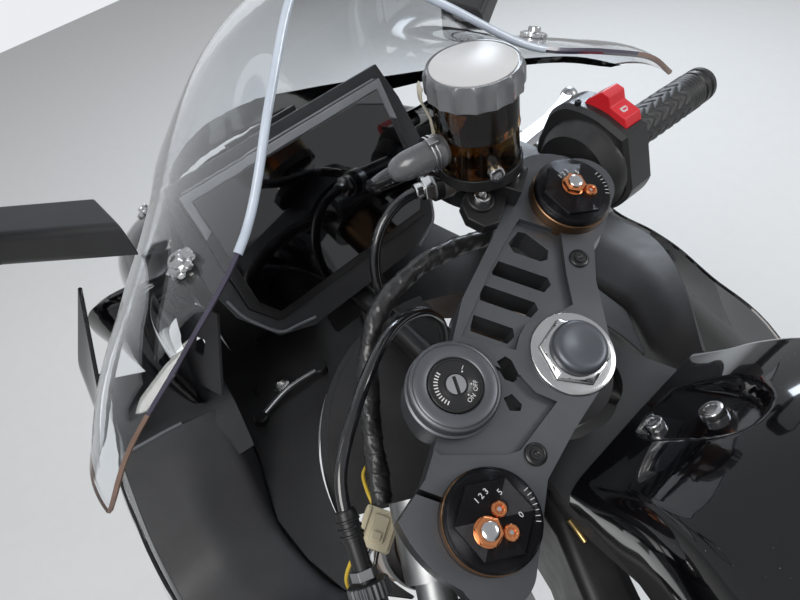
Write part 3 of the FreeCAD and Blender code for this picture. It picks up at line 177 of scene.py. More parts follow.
class Graph:
    """A material's nodes, written as expressions."""

    def __init__(self, name: str) -> None:
        """Start a material with a Principled shader.

        Args:
            name: the material's name.
        """
        self.material = bpy.data.materials.new(name)
        self.material.use_nodes = True
        self.tree = self.material.node_tree
        self.tree.nodes.clear()
        self.shader = self.tree.nodes.new("ShaderNodeBsdfPrincipled")
        output = self.tree.nodes.new("ShaderNodeOutputMaterial")
        self.tree.links.new(self.shader.outputs[0], output.inputs[0])

    def feed(self, socket: bpy.types.NodeSocket, value: "Sock | float | Sequence[float]") -> None:
        """Link a socket to a value, or set it.

        Args:
            socket: a node's input.
            value: a link, a number or a colour.
        """
        if isinstance(value, Sock):
            self.tree.links.new(value.link, socket)
        elif isinstance(value, tuple) and len(value) == 3 and socket.type == "RGBA":
            socket.default_value = (*value, 1.0)
        else:
            socket.default_value = value

    def node(self, kind: str, settings: dict | None = None, inputs: dict | None = None,
             output: int | str = 0) -> Sock:
        """Add any node.

        Args:
            kind: the node's type.
            settings: its properties.
            inputs: values or links by socket name or number.
            output: the socket that is wanted.

        Returns:
            That output.
        """
        item = self.tree.nodes.new(kind)
        for name, value in (settings or {}).items():
            setattr(item, name, value)
        for key, value in (inputs or {}).items():
            self.feed(item.inputs[key], value)
        return Sock(self, item.outputs[output])

    def point(self) -> Sock:
        """Object coordinates, in metres."""
        return self.node("ShaderNodeTexCoord", output="Object")

    def along(self) -> Sock:
        """Distance along the piece, in metres, from its own map."""
        own_map = self.node("ShaderNodeTexCoord", output="UV")
        return self.node("ShaderNodeSeparateXYZ", inputs={0: own_map}, output="Y")

    def stretched(self, scale: Point) -> Sock:
        """Object coordinates, scaled."""
        return self.node("ShaderNodeMapping", inputs={"Vector": self.point(), "Scale": scale})

    def noise(self, size: float, detail: float = 2.0, vector: Sock | None = None) -> Sock:
        """Cloudy noise from 0 to 1.

        Args:
            size: the size of its spots, in metres.
            detail: how many finer layers it has.
            vector: coordinates other than the object's.

        Returns:
            The noise's value.
        """
        inputs = {"Vector": vector or self.point(), "Scale": 1.0 / size, "Detail": detail}
        return self.node("ShaderNodeTexNoise", inputs=inputs, output="Fac")

    def pebbles(self, size: float) -> Sock:
        """Distance to the nearest of many scattered points."""
        inputs = {"Vector": self.point(), "Scale": 1.0 / size}
        return self.node("ShaderNodeTexVoronoi", inputs=inputs, output="Distance")

    def mix(self, share: Sock | float, low: Sock | Colour, high: Sock | Colour) -> Sock:
        """Blend two colours."""
        return self.node("ShaderNodeMix", {"data_type": "RGBA"}, {0: share, 6: low, 7: high}, output=2)

    def bump(self, height: Sock, depth: float) -> Sock:
        """Normal of a relief of that depth, in metres."""
        return self.node("ShaderNodeBump", inputs={"Height": height, "Distance": depth, "Strength": 1.0})

    def set(self, **values: "Sock | float | Sequence[float]") -> None:
        """Set the shader's sockets, a blank in a socket's name written as an underscore."""
        for name, value in values.items():
            self.feed(self.shader.inputs[name.replace("_", " ")], value)


# Finishes

class Grain(Enum):
    """Fine relief of a finish."""

    NONE = "none"
    CAST = "fine sand of a casting"
    MOULDED = "pebbled skin of a moulding"
    BRUSHED = "long scratches of a brush"
    TURNED = "rings left by a lathe"


@dataclass(frozen=True)
class Finish:
    """An opaque surface: colour that varies a little, gloss and fine relief."""

    colour: Colour
    shade: Colour
    roughness: float
    unevenness: float
    metallic: float = 0.0
    coat: float = 0.0
    grain: Grain = Grain.NONE
    grain_size: float = 0.5
    grain_depth: float = 0.02
    dust: float = 0.0
    specular: float = 0.5
    coat_roughness: float = 0.03
    dust_colour: Colour = (0.6, 0.58, 0.54)

    def height(self, graph: Graph) -> Sock | None:
        """The relief, from 0 to 1, or nothing on a smooth surface.

        Args:
            graph: the material's nodes.

        Returns:
            The relief.
        """
        size = self.grain_size * MM
        if self.grain is Grain.CAST:
            return graph.noise(size, 3.0)
        if self.grain is Grain.MOULDED:
            return graph.pebbles(size) * 0.7 + graph.noise(size * 4, 1.0) * 0.6
        if self.grain is Grain.BRUSHED:
            return graph.noise(size, 2.0, graph.stretched((0.06, 1.0, 1.0)))
        if self.grain is Grain.TURNED:
            return (graph.along() * (2 * math.pi / size)).sine() + graph.noise(0.0004) * 0.6
        return None

    def tint(self, graph: Graph) -> Sock:
        """The colour at each place.

        Args:
            graph: the material's nodes.

        Returns:
            The colour.
        """
        clouds = graph.noise(0.035, 3.0)
        colour = graph.mix(clouds.step(0.3, 0.7), self.colour, self.shade)
        if self.dust > 0:
            specks = (graph.pebbles(0.0035) * -1.0 + 0.08).step(0.0, 0.05) * graph.noise(0.03).step(0.45, 0.7)
            colour = graph.mix(specks * self.dust, colour, self.dust_colour)
        return colour

    def material(self, name: str) -> bpy.types.Material:
        """Build the material.

        Args:
            name: its name.

        Returns:
            The material.
        """
        graph = Graph(name)
        clouds = graph.noise(0.012, 4.0)
        graph.set(
            Base_Color=self.tint(graph),
            Metallic=self.metallic,
            Roughness=clouds * (2 * self.unevenness) + (self.roughness - self.unevenness),
            Coat_Weight=self.coat,
            Coat_Roughness=self.coat_roughness,
            Specular_IOR_Level=self.specular,
        )
        height = self.height(graph)
        if height is not None:
            graph.set(Normal=graph.bump(height, self.grain_depth * MM))
        return graph.material


@dataclass(frozen=True)
class ClearFinish:
    """A see-through surface, its tint cloudy between two colours."""

    colour: Colour
    deep: Colour
    roughness: float
    ior: float

    def material(self, name: str) -> bpy.types.Material:
        """Build the material.

        Args:
            name: its name.

        Returns:
            The material.
        """
        graph = Graph(name)
        graph.set(
            Base_Color=graph.mix(graph.noise(0.05).step(0.35, 0.75), self.colour, self.deep),
            Roughness=graph.noise(0.02) * 0.02 + self.roughness,
            Transmission_Weight=1.0,
            IOR=self.ior,
        )
        return graph.material


CAST, MOULDED, BRUSHED, TURNED = Grain.CAST, Grain.MOULDED, Grain.BRUSHED, Grain.TURNED

# Colour, shade, roughness, its unevenness, metallic, coat, then the grain with its size and depth in
# millimetres, then dust and specular level where they aren't a finish's usual ones.
OPAQUE = {
    "clamp": ((0.105, 0.109, 0.118), (0.122, 0.126, 0.135), 0.42, 0.05, 0.85, 0.0, CAST, 0.35, 0.018),
    "cast": ((0.09, 0.092, 0.098), (0.11, 0.112, 0.118), 0.5, 0.08, 0.8, 0.0, CAST, 0.9, 0.05),
    "lock": ((0.115, 0.12, 0.132), (0.135, 0.14, 0.155), 0.4, 0.05, 0.75, 0.0, CAST, 0.3, 0.012),
    "bronze": ((0.15, 0.085, 0.045), (0.19, 0.11, 0.06), 0.3, 0.06, 0.95, 0.0, TURNED, 0.35, 0.01),
    "anodised": ((0.014, 0.014, 0.016), (0.02, 0.02, 0.022), 0.17, 0.04, 0.9, 0.0, TURNED, 0.5, 0.05),
    "copper": ((0.62, 0.22, 0.09), (0.7, 0.28, 0.12), 0.25, 0.06, 0.95, 0.0, CAST, 0.3, 0.006),
    "steel": ((0.62, 0.62, 0.62), (0.52, 0.52, 0.53), 0.2, 0.08, 1.0, 0.0, BRUSHED, 0.25, 0.006),
    "cast_bright": ((0.24, 0.245, 0.25), (0.3, 0.305, 0.31), 0.4, 0.08, 0.85, 0.0, CAST, 0.9, 0.03),
    "hard_chrome": ((0.55, 0.56, 0.58), (0.6, 0.6, 0.62), 0.12, 0.03, 1.0, 0.0, BRUSHED, 0.3, 0.003),
    "dark_grey": ((0.1, 0.11, 0.125), (0.12, 0.13, 0.145), 0.38, 0.06, 0.6, 0.0, CAST, 0.5, 0.01),
    "lever": ((0.42, 0.43, 0.44), (0.5, 0.5, 0.52), 0.32, 0.08, 0.95, 0.0, CAST, 0.6, 0.012),
    "black_metal": ((0.012, 0.012, 0.013), (0.018, 0.018, 0.019), 0.4, 0.08, 0.3, 0.0, CAST, 0.6, 0.02),
    "frame": ((0.014, 0.014, 0.016), (0.022, 0.022, 0.024), 0.45, 0.08, 0.2, 0.0, CAST, 0.9, 0.03),
    "gloss": ((0.0022, 0.0023, 0.003), (0.003, 0.003, 0.004), 0.1, 0.03, 0.0, 0.9, CAST, 9.0, 0.012, 0.5,
              0.15),
    "moulded": ((0.03, 0.031, 0.034), (0.036, 0.037, 0.04), 0.55, 0.06, 0.0, 0.0, MOULDED, 0.7, 0.06),
    "black_plastic": ((0.014, 0.014, 0.015), (0.02, 0.02, 0.021), 0.38, 0.08, 0.0, 0.0, MOULDED, 0.5, 0.02),
    "mirror_shell": ((0.022, 0.022, 0.024), (0.028, 0.028, 0.03), 0.42, 0.06, 0.0, 0.0, MOULDED, 0.5, 0.025),
    "screen_glass": ((0.001, 0.001, 0.0015), (0.0015, 0.0015, 0.002), 0.04, 0.01, 0.0, 1.0),
    "mirror": ((0.88, 0.9, 0.9), (0.86, 0.88, 0.88), 0.015, 0.005, 1.0, 0.0),
    "rubber": ((0.012, 0.012, 0.013), (0.02, 0.02, 0.021), 0.5, 0.1, 0.0, 0.0, MOULDED, 0.6, 0.03),
    "cable": ((0.008, 0.008, 0.009), (0.014, 0.014, 0.016), 0.16, 0.05, 0.0, 0.6, CAST, 3.0, 0.03),
    "red": ((0.62, 0.012, 0.02), (0.68, 0.02, 0.03), 0.32, 0.06, 0.0, 0.0, MOULDED, 0.5, 0.012),
    "cream": ((0.6, 0.54, 0.38), (0.68, 0.62, 0.46), 0.35, 0.08, 0.0, 0.0, CAST, 1.0, 0.02),
    "white": ((0.66, 0.66, 0.66), (0.62, 0.62, 0.63), 0.4, 0.05, 0.0, 0.0),
    "cap_grey": ((0.12, 0.125, 0.135), (0.15, 0.155, 0.165), 0.24, 0.06, 0.0, 0.4, CAST, 0.7, 0.015),
    "barrel": ((0.5, 0.5, 0.51), (0.42, 0.42, 0.44), 0.3, 0.08, 0.9, 0.0, BRUSHED, 0.4, 0.01),
    "black_face": ((0.01, 0.01, 0.011), (0.014, 0.014, 0.015), 0.3, 0.05, 0.0, 0.0, CAST, 0.5, 0.01),
    "pale_strap": ((0.5, 0.46, 0.36), (0.58, 0.54, 0.44), 0.4, 0.06, 0.0, 0.0, CAST, 0.8, 0.015),
    "tape": ((0.012, 0.012, 0.013), (0.02, 0.02, 0.021), 0.34, 0.1, 0.0, 0.25, CAST, 2.2, 0.12),
    # Rim tones of the screen: a pale painted highlight, a dark painted shade, and brown for its tips.
    "edge": ((0.62, 0.7, 0.8), (0.5, 0.56, 0.66), 0.12, 0.04, 0.0, 0.6, CAST, 1.2, 0.02),
    "edge_dark": ((0.035, 0.028, 0.05), (0.07, 0.06, 0.1), 0.12, 0.04, 0.0, 0.8, CAST, 1.2, 0.02),
    "elbow": ((0.085, 0.087, 0.093), (0.11, 0.112, 0.118), 0.28, 0.08, 0.0, 0.35, CAST, 0.8, 0.02),
    "panel": ((0.034, 0.035, 0.038), (0.046, 0.046, 0.049), 0.5, 0.06, 0.0, 0.0, MOULDED, 0.8, 0.07),
    "edge_brown": ((0.2, 0.12, 0.09), (0.27, 0.17, 0.13), 0.14, 0.04, 0.0, 0.6, CAST, 1.2, 0.02),
    "gold": ((0.5, 0.36, 0.14), (0.58, 0.42, 0.18), 0.3, 0.06, 0.9, 0.0, BRUSHED, 0.4, 0.008),
    "yellow": ((0.7, 0.5, 0.05), (0.62, 0.42, 0.04), 0.35, 0.05, 0.0, 0.0, CAST, 0.8, 0.01),
    "bezel": ((0.26, 0.265, 0.28), (0.3, 0.305, 0.32), 0.38, 0.06, 0.0, 0.0, MOULDED, 0.5, 0.015),
    # Pale grey; along the inner panels' front edges it stands as a painted highlight.
    "lip": ((0.14, 0.145, 0.16), (0.18, 0.185, 0.2), 0.4, 0.06, 0.0, 0.0, CAST, 0.6, 0.012),
}

FINISHES: dict[str, Finish | ClearFinish] = {
    **{name: Finish(*row) for name, row in OPAQUE.items()},
    "fluid": ClearFinish((0.3, 0.18, 0.06), (0.2, 0.11, 0.03), 0.0, 1.42),
    "smoke": ClearFinish((0.42, 0.3, 0.13), (0.28, 0.18, 0.07), 0.06, 1.45),
    "clear": ClearFinish((0.93, 0.95, 0.97), (0.9, 0.93, 0.96), 0.0, 1.49),
}

_materials: dict[str, bpy.types.Material] = {}


def finish(name: str) -> bpy.types.Material:
    """The material of a finish, made at its first use.

    Args:
        name: a key of FINISHES.

    Returns:
        The material.
    """
    if name not in _materials:
        _materials[name] = FINISHES[name].material(name)
    return _materials[name]


# Pieces

def placed(name: str, data: bpy.types.ID) -> bpy.types.Object:
    """Put data into the scene as an object.

    Args:
        name: the object's name.
        data: what it shows.

    Returns:
        The object.
    """
    item = bpy.data.objects.new(name, data)
    bpy.context.scene.collection.objects.link(item)
    return item


def meshed(item: bpy.types.Object) -> bpy.types.Mesh:
    """An object's mesh as its modifiers leave it."""
    return bpy.data.meshes.new_from_object(item.evaluated_get(bpy.context.evaluated_depsgraph_get()))


def wired(tree: bpy.types.NodeTree, nodes: Sequence[tuple],
          links: Sequence[tuple]) -> dict[str, bpy.types.Node]:
    """Fill a node tree from two tables.

    Args:
        tree: the tree.
        nodes: each node's key, type and settings.
        links: key and output of a node, then key and input of the one that it feeds.

    Returns:
        The nodes by their keys.
    """
    made = {}
    for key, kind, settings in nodes:
        made[key] = tree.nodes.new(kind)
        for name, value in settings.items():
            setattr(made[key], name, value)
    for source, output, target, socket in links:
        tree.links.new(made[source].outputs[output], made[target].inputs[socket])
    return made


def drawn(data: bpy.types.Curve) -> bpy.types.Mesh:
    """The mesh of a curve or of letters.

    Args:
        data: the curve.

    Returns:
        Its mesh, in the curve's own units.
    """
    item = placed(data.name, data)
    mesh = meshed(item)
    bpy.data.objects.remove(item)
    return mesh


def baked(item: bpy.types.Object) -> None:
    """Apply an object's modifiers."""
    mesh = meshed(item)
    item.modifiers.clear()
    item.data = mesh


def settle(item: bpy.types.Object, body: str, slot: str, stands_for: Sequence[str] = ()) -> None:
    """Hang a finished piece on its body.

    Args:
        item: the piece, its place in its mesh.
        body: the CAD body that it rides on.
        slot: the record's material slot; not used.
        stands_for: CAD nodes that it replaces.
    """
    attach(item, body)
    if stands_for:
        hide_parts(*stands_for)
    log.info("%s rides on %s, %d faces", item.name, body, len(item.data.polygons))


def body_of_node(node: str) -> str:
    """The body that a CAD node rides on."""
    return frame["nodes"][node]["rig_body"]


def slot_of_node(node: str) -> str:
    """The material slot that the record gives a node."""
    return next(part["material_slot"] for part in frame["record"]["subparts"] if part["node"] == node)


def round_edges(item: bpy.types.Object, edge: float, angle: float) -> None:
    """Round an object's sharp edges and even its shading.

    Args:
        item: the object.
        edge: width of the rounding, in millimetres.
        angle: corners sharper than this many degrees are rounded.
    """
    rounding = item.modifiers.new("rounding", "BEVEL")
    rounding.width = edge * MM
    rounding.segments = 2
    rounding.limit_method = "ANGLE"
    rounding.angle_limit = math.radians(angle)
    rounding.miter_outer = "MITER_ARC"
    rounding.use_clamp_overlap = True
    normals = item.modifiers.new("normals", "WEIGHTED_NORMAL")
    normals.keep_sharp = True
    normals.weight = 80
    baked(item)


def softened(node: str, finish_name: str, edge: float) -> None:
    """Copy a CAD node with its sharp edges rounded, and let the copy stand for it.

    Args:
        node: the CAD node.
        finish_name: the finish that it gets.
        edge: width of the rounding, in millimetres.
    """
    mesh = frame["nodes"][node].data.copy()
    mesh.name = node + "_shell"
    if mesh.has_custom_normals:
        mesh.attributes.remove(mesh.attributes["custom_normal"])
    work = bmesh.new()
    work.from_mesh(mesh)
    bmesh.ops.remove_doubles(work, verts=work.verts, dist=2e-6)
    bmesh.ops.dissolve_limit(work, angle_limit=math.radians(0.08), verts=work.verts, edges=work.edges)
    for face in work.faces:
        face.smooth = True
    work.to_mesh(mesh)
    work.free()
    item = placed(mesh.name, mesh)
    round_edges(item, edge, CAD_CORNER)
    item.data.materials.clear()
    item.data.materials.append(finish(finish_name))
    settle(item, body_of_node(node), slot_of_node(node), [node])


# Meshes

def smooth_line(points: Sequence[Sequence[float]], steps: int) -> list[Vector]:
    """Smooth line through points.

    Args:
        points: what it passes through, in order.
        steps: parts that each stretch between two of them is divided into.

    Returns:
        The line's points, both ends included.
    """
    line = []
    points = [Vector(point) for point in points]
    last = len(points) - 1
    for index in range(last):
        start, end = points[index], points[index + 1]
        before = points[index - 1] if index else start * 2 - end
        after = points[index + 2] if index + 1 < last else end * 2 - start
        for step in range(steps):
            t = step / steps
            square = (before * 2 - start * 5 + end * 4 - after) * t ** 2
            cube = (start * 3 - before - end * 3 + after) * t ** 3
            line.append((start * 2 + (end - before) * t + square + cube) * 0.5)
    return line + [points[last]]


def cord_line(points: Sequence[Point], resolution: int = 14) -> list[Vector]:
    """Smooth line of a cord, from given control points.

    Args:
        points: the control points, in millimetres.
        resolution: points that each stretch of the curve gets.

    Returns:
        Points along the curve, in millimetres.
    """
    data = bpy.data.curves.new("route", "CURVE")
    data.dimensions = "3D"
    data.resolution_u = resolution
    spline = data.splines.new("NURBS")
    spline.points.add(len(points) - 1)
    for control, point in zip(spline.points, points):
        control.co = (*point, 1.0)
    spline.order_u = 3
    spline.use_endpoint_u = True
    mesh = drawn(data)
    line = [vertex.co.copy() for vertex in mesh.vertices]
    bpy.data.meshes.remove(mesh)
    return line


def band(inner: float, outer: float, low: float, high: float, sides: int = 0) -> list[tuple]:
    """Profile of a plain ring, its outside a polygon if it has sides."""
    return [(inner, low), (outer, low, sides), (outer, high, sides), (inner, high)]


def oblong(start: float, end: float, half: float) -> list[tuple[float, float]]:
    """Plain rectangle from one place on the x axis to another."""
    return [(start, -half), (end, -half), (end, half), (start, half)]


def mirrored(points: Sequence[Vector]) -> list[Vector]:
    """The same points on the other side of the mid-plane."""
    return [Vector((point.x, -point.y, point.z)) for point in points]


def rounded(width: float, height: float, corner: float, steps: int = 6) -> list[Vector]:
    """Rectangle with round corners about the origin, counter-clockwise.

    Args:
        width: size along x.
        height: size along y.
        corner: radius of its corners.
        steps: parts of each corner.

    Returns:
        Its corners, in order.
    """
    outline = []
    for turn, (side, up) in enumerate(((1, 1), (-1, 1), (-1, -1), (1, -1))):
        centre = Vector((side * (width / 2 - corner), up * (height / 2 - corner)))
        for step in range(steps + 1):
            angle = (turn + step / steps) * math.pi / 2
            outline.append(centre + Vector((math.cos(angle), math.sin(angle))) * corner)
    return outline


def offset_rows(rows: Sequence[Sequence[Vector]], thick: float, flip: bool) -> list[list[Vector]]:
    """Rows of points moved square to their surface.

    Args:
        rows: the surface's points.
        thick: how far.
        flip: whether they move to its other side.

    Returns:
        The moved rows.
    """
    moved = []
    for index, row in enumerate(rows):
        line = []
        for place, point in enumerate(row):
            down = rows[min(index + 1, len(rows) - 1)][place] - rows[max(index - 1, 0)][place]
            side = row[min(place + 1, len(row) - 1)] - row[max(place - 1, 0)]
            line.append(point + side.cross(down).normalized() * (thick if flip else -thick))
        moved.append(line)
    return moved


class Form:
    """A mesh under construction in a place's own millimetres, with a finish for each face."""

    def __init__(self, name: str, place: Matrix, body: str = STEERING) -> None:
        """Start an empty form.

        Args:
            name: the piece's name.
            place: matrix from its millimetres to the row frame.
            body: the CAD body that it rides on.
        """
        self.name, self.place, self.body = name, place, body
        self.points: list[Vector] = []
        self.faces: list[tuple[int, ...]] = []
        self.maps: list[tuple[tuple[float, float], ...]] = []
        self.slots: list[int] = []
        self.finishes: list[str] = []

    def face(self, corners: Sequence[int], finish_name: str,
             uv: Sequence[tuple[float, float]] | None = None) -> None:
        """Add a face of a finish, with its places on the map.

        Args:
            corners: numbers of its points, counter-clockwise.
            finish_name: its finish.
            uv: place on the map of each corner.
        """
        if finish_name not in self.finishes:
            self.finishes.append(finish_name)
        self.faces.append(tuple(corners))
        self.slots.append(self.finishes.index(finish_name))
        self.maps.append(tuple(uv) if uv else ((0.0, 0.0),) * len(corners))

    def lathe(self, profile: Sequence[tuple], finish_name: str, at: Matrix = Matrix(), turns: int = 72,
              ring: bool = False, wave: Callable[[float, int], float] | None = None) -> "Form":
        """Turn a profile about Z.

        Args:
            profile: rings as radius and height, with a number of sides where the ring is a polygon,
                sized to its flats.
            finish_name: its finish.
            at: where it stands in the form's place.
            turns: corners round it.
            ring: whether the profile closes on itself.
            wave: added radius at an angle on a ring.

        Returns:
            The form.
        """
        rings = []
        along = 0.0
        for index, entry in enumerate(profile):
            radius, height = entry[:2]
            sides = entry[2] if len(entry) > 2 else 0
            if index:
                along += math.hypot(radius - profile[index - 1][0], height - profile[index - 1][1]) * MM
            first = len(self.points)
            count = 1 if radius == 0 else turns
            for step in range(count):
                angle = 2 * math.pi * step / turns
                reach = radius
                if sides and radius:
                    reach /= math.cos(((step * sides / turns) % 1.0 - 0.5) * 2 * math.pi / sides)
                if wave and radius:
                    reach += wave(angle, index)
                self.points.append(at @ Vector((reach * math.cos(angle), reach * math.sin(angle), height)))
            rings.append((first, count, along))
        pairs = list(zip(rings, rings[1:]))
        if ring:
            pairs.append((rings[-1], (rings[0][0], rings[0][1], along + 0.001)))
        self.skin(pairs, turns, finish_name)
        return self

    def skin(self, pairs: Sequence[tuple], turns: int, finish_name: str) -> None:
        """Faces between pairs of rings.

        Args:
            pairs: two rings, each as first corner, number of corners and distance along the piece.
            turns: corners round a whole ring; one with a single corner is a tip.
            finish_name: their finish.
        """
        for (low, low_count, low_at), (top, top_count, top_at) in pairs:
            for step in range(turns if max(low_count, top_count) > 1 else 0):
                here, there = (step, step / turns), ((step + 1) % turns, (step + 1) / turns)
                corners, uv = [], []
                for start, count, place, offsets in ((low, low_count, low_at, (here, there)),
                                                     (top, top_count, top_at, (there, here))):
                    for offset, turn in offsets[:1] if count == 1 else offsets:
                        corners.append(start + (0 if count == 1 else offset))
                        uv.append((turn, place))
                self.face(corners, finish_name, uv)

    def prism(self, outline: Sequence[Sequence[float]], low: float, high: float, finish_name: str,
              at: Matrix = Matrix()) -> "Form":
        """Push a counter-clockwise outline up from one height to another.

        Args:
            outline: its corners.
            low: height of its lower face.
            high: height of its upper face.
            finish_name: its finish.
            at: where it stands in the form's place.

        Returns:
            The form.
        """
        first = len(self.points)
        count = len(outline)
        for height in (low, high):
            self.points += [at @ Vector((point[0], point[1], height)) for point in outline]
        for step in range(count):
            after = (step + 1) % count
            self.face((first + step, first + after, first + count + after, first + count + step), finish_name)
        self.face([first + count - 1 - step for step in range(count)], finish_name)
        self.face([first + count + step for step in range(count)], finish_name)
        return self

    def grid(self, rows: Sequence[Sequence[Vector]], finish_name: str, flip: bool = False) -> list[list[int]]:
        """Surface through rows of points.

        Args:
            rows: the points, each row as long as the next.
            finish_name: its finish.
            flip: whether its faces look the other way.

        Returns:
            The numbers of its corners, row by row.
        """
        numbers = []
        for row in rows:
            numbers.append(list(range(len(self.points), len(self.points) + len(row))))
            self.points += [point.copy() for point in row]
        for before, after in zip(numbers, numbers[1:]):
            for a, b, c, d in zip(before, before[1:], after[1:], after):
                self.face((d, c, b, a) if flip else (a, b, c, d), finish_name)
        return numbers

    def wall(self, rows: Sequence[Sequence[Vector]], thick: float, outer: str, rim: str,
             flip: bool = False) -> None:
        """Curved wall of even thickness, the rows on its outer face, with a rounded rim.

        Args:
            rows: points of its outer face.
            thick: its thickness.
            outer: finish of both faces.
            rim: finish of its rim.
            flip: whether its thickness lies on the other side.
        """
        across = len(rows[0])
        inner = offset_rows(rows, thick, flip)
        out_numbers = self.grid(rows, outer, not flip)
        in_numbers = self.grid(inner, outer, flip)
        border = [(0, place) for place in range(across)]
        border += [(index, across - 1) for index in range(1, len(rows))]
        border += [(len(rows) - 1, place) for place in range(across - 2, -1, -1)]
        border += [(index, 0) for index in range(len(rows) - 2, 0, -1)]
        first = len(self.points)
        for index, place in border:
            half = (rows[index][place] + inner[index][place]) / 2
            near = rows[min(max(index, 1), len(rows) - 2)][min(max(place, 1), across - 2)]
            away = (rows[index][place] - near).normalized()
            self.points.append(half + away * thick * 0.25)
        count = len(border)
        for step in range(count):
            after = (step + 1) % count
            (i, p), (j, q) = border[step], border[after]
            self.face((out_numbers[i][p], first + step, first + after, out_numbers[j][q]), rim)
            self.face((first + step, in_numbers[i][p], in_numbers[j][q], first + after), rim)

    def tube(self, line: Sequence[Vector], radius: Callable[[float, float], float] | float, finish_name: str,
             turns: int = 20, at: Matrix = Matrix()) -> "Form":
        """Tube along a line.

        Args:
            line: its middle.
            radius: a number, or a function of the distance along it and the angle round it.
            finish_name: its finish.
            turns: corners round it.
            at: where the line's millimetres are in the form's place.

        Returns:
            The form.
        """
        reach = radius if callable(radius) else lambda distance, angle: radius
        first_way = (line[1] - line[0]).normalized()
        side = Vector((1, 0, 0)) if abs(first_way.z) > 0.9 else Vector((0, 0, 1))
        distance = 0.0
        rings = []
        for index, point in enumerate(line):
            ahead = (line[min(index + 1, len(line) - 1)] - line[max(index - 1, 0)]).normalized()
            side = (side - ahead * side.dot(ahead)).normalized()
            up = ahead.cross(side)
            if index:
                distance += (point - line[index - 1]).length
            first = len(self.points)
            for step in range(turns):
                angle = 2 * math.pi * step / turns
                spoke = (side * math.cos(angle) + up * math.sin(angle)) * reach(distance, angle)
                self.points.append(at @ (point + spoke))
            rings.append((first, turns, distance * MM))
        self.skin(list(zip(rings, rings[1:])), turns, finish_name)
        self.face([rings[0][0] + turns - 1 - step for step in range(turns)], finish_name)
        self.face([rings[-1][0] + step for step in range(turns)], finish_name)
        return self

    def letters(self, text: str, height: float, finish_name: str, at: Matrix) -> "Form":
        """Plain numbers or ON and OFF, standing a little proud of a face.

        Args:
            text: what is written.
            height: size of the letters.
            finish_name: their finish.
            at: their middle in the form's place, x along the line.

        Returns:
            The form.
        """
        data = bpy.data.curves.new("text", "FONT")
        data.body = text
        data.size = height
        data.extrude = LETTER_RISE / 2
        data.align_x = "CENTER"
        data.align_y = "CENTER"
        data.resolution_u = 2
        mesh = drawn(data)
        first = len(self.points)
        self.points += [at @ vertex.co for vertex in mesh.vertices]
        for polygon in mesh.polygons:
            self.face([first + corner for corner in polygon.vertices], finish_name)
        bpy.data.meshes.remove(mesh)
        return self

    def item(self, slot: str, stands_for: Sequence[str] = (), edge: float = 0.0, angle: float = 35.0,
             recalculate: bool = True) -> None:
        """Finish the form as a piece.

        Args:
            slot: the record's material slot.
            stands_for: CAD nodes that it replaces.
            edge: width of its rounded edges, in millimetres.
            angle: corners sharper than this many degrees are edges.
            recalculate: whether its closed shells get their faces turned outward.
        """
        mesh = bpy.data.meshes.new(self.name)
        mesh.from_pydata([self.place @ point for point in self.points], [], self.faces)
        layer = mesh.uv_layers.new(name="map")
        corner = 0
        for uv in self.maps:
            for place in uv:
                layer.data[corner].uv = place
                corner += 1
        for name in self.finishes:
            mesh.materials.append(finish(name))
        mesh.polygons.foreach_set("material_index", self.slots)
        work = bmesh.new()
        work.from_mesh(mesh)
        bmesh.ops.remove_doubles(work, verts=work.verts, dist=1e-6)
        if recalculate:
            bmesh.ops.recalc_face_normals(work, faces=work.faces)
        for polygon in work.faces:
            polygon.smooth = True
        work.to_mesh(mesh)
        work.free()
        mesh.set_sharp_from_angle(angle=math.radians(angle))
        item = placed(self.name, mesh)
        if edge > 0:
            round_edges(item, edge, angle)
        settle(item, self.body, slot, stands_for)


def steering_form(name: str) -> Form:
    """An empty form in the steering's millimetres."""
    return Form(name, PLACE.turned())


def chassis_form(name: str) -> Form:
    """An empty form in millimetres from the stem's top, level."""
    return Form(name, PLACE.from_stem(), CHASSIS)


# Steering: what shows on it

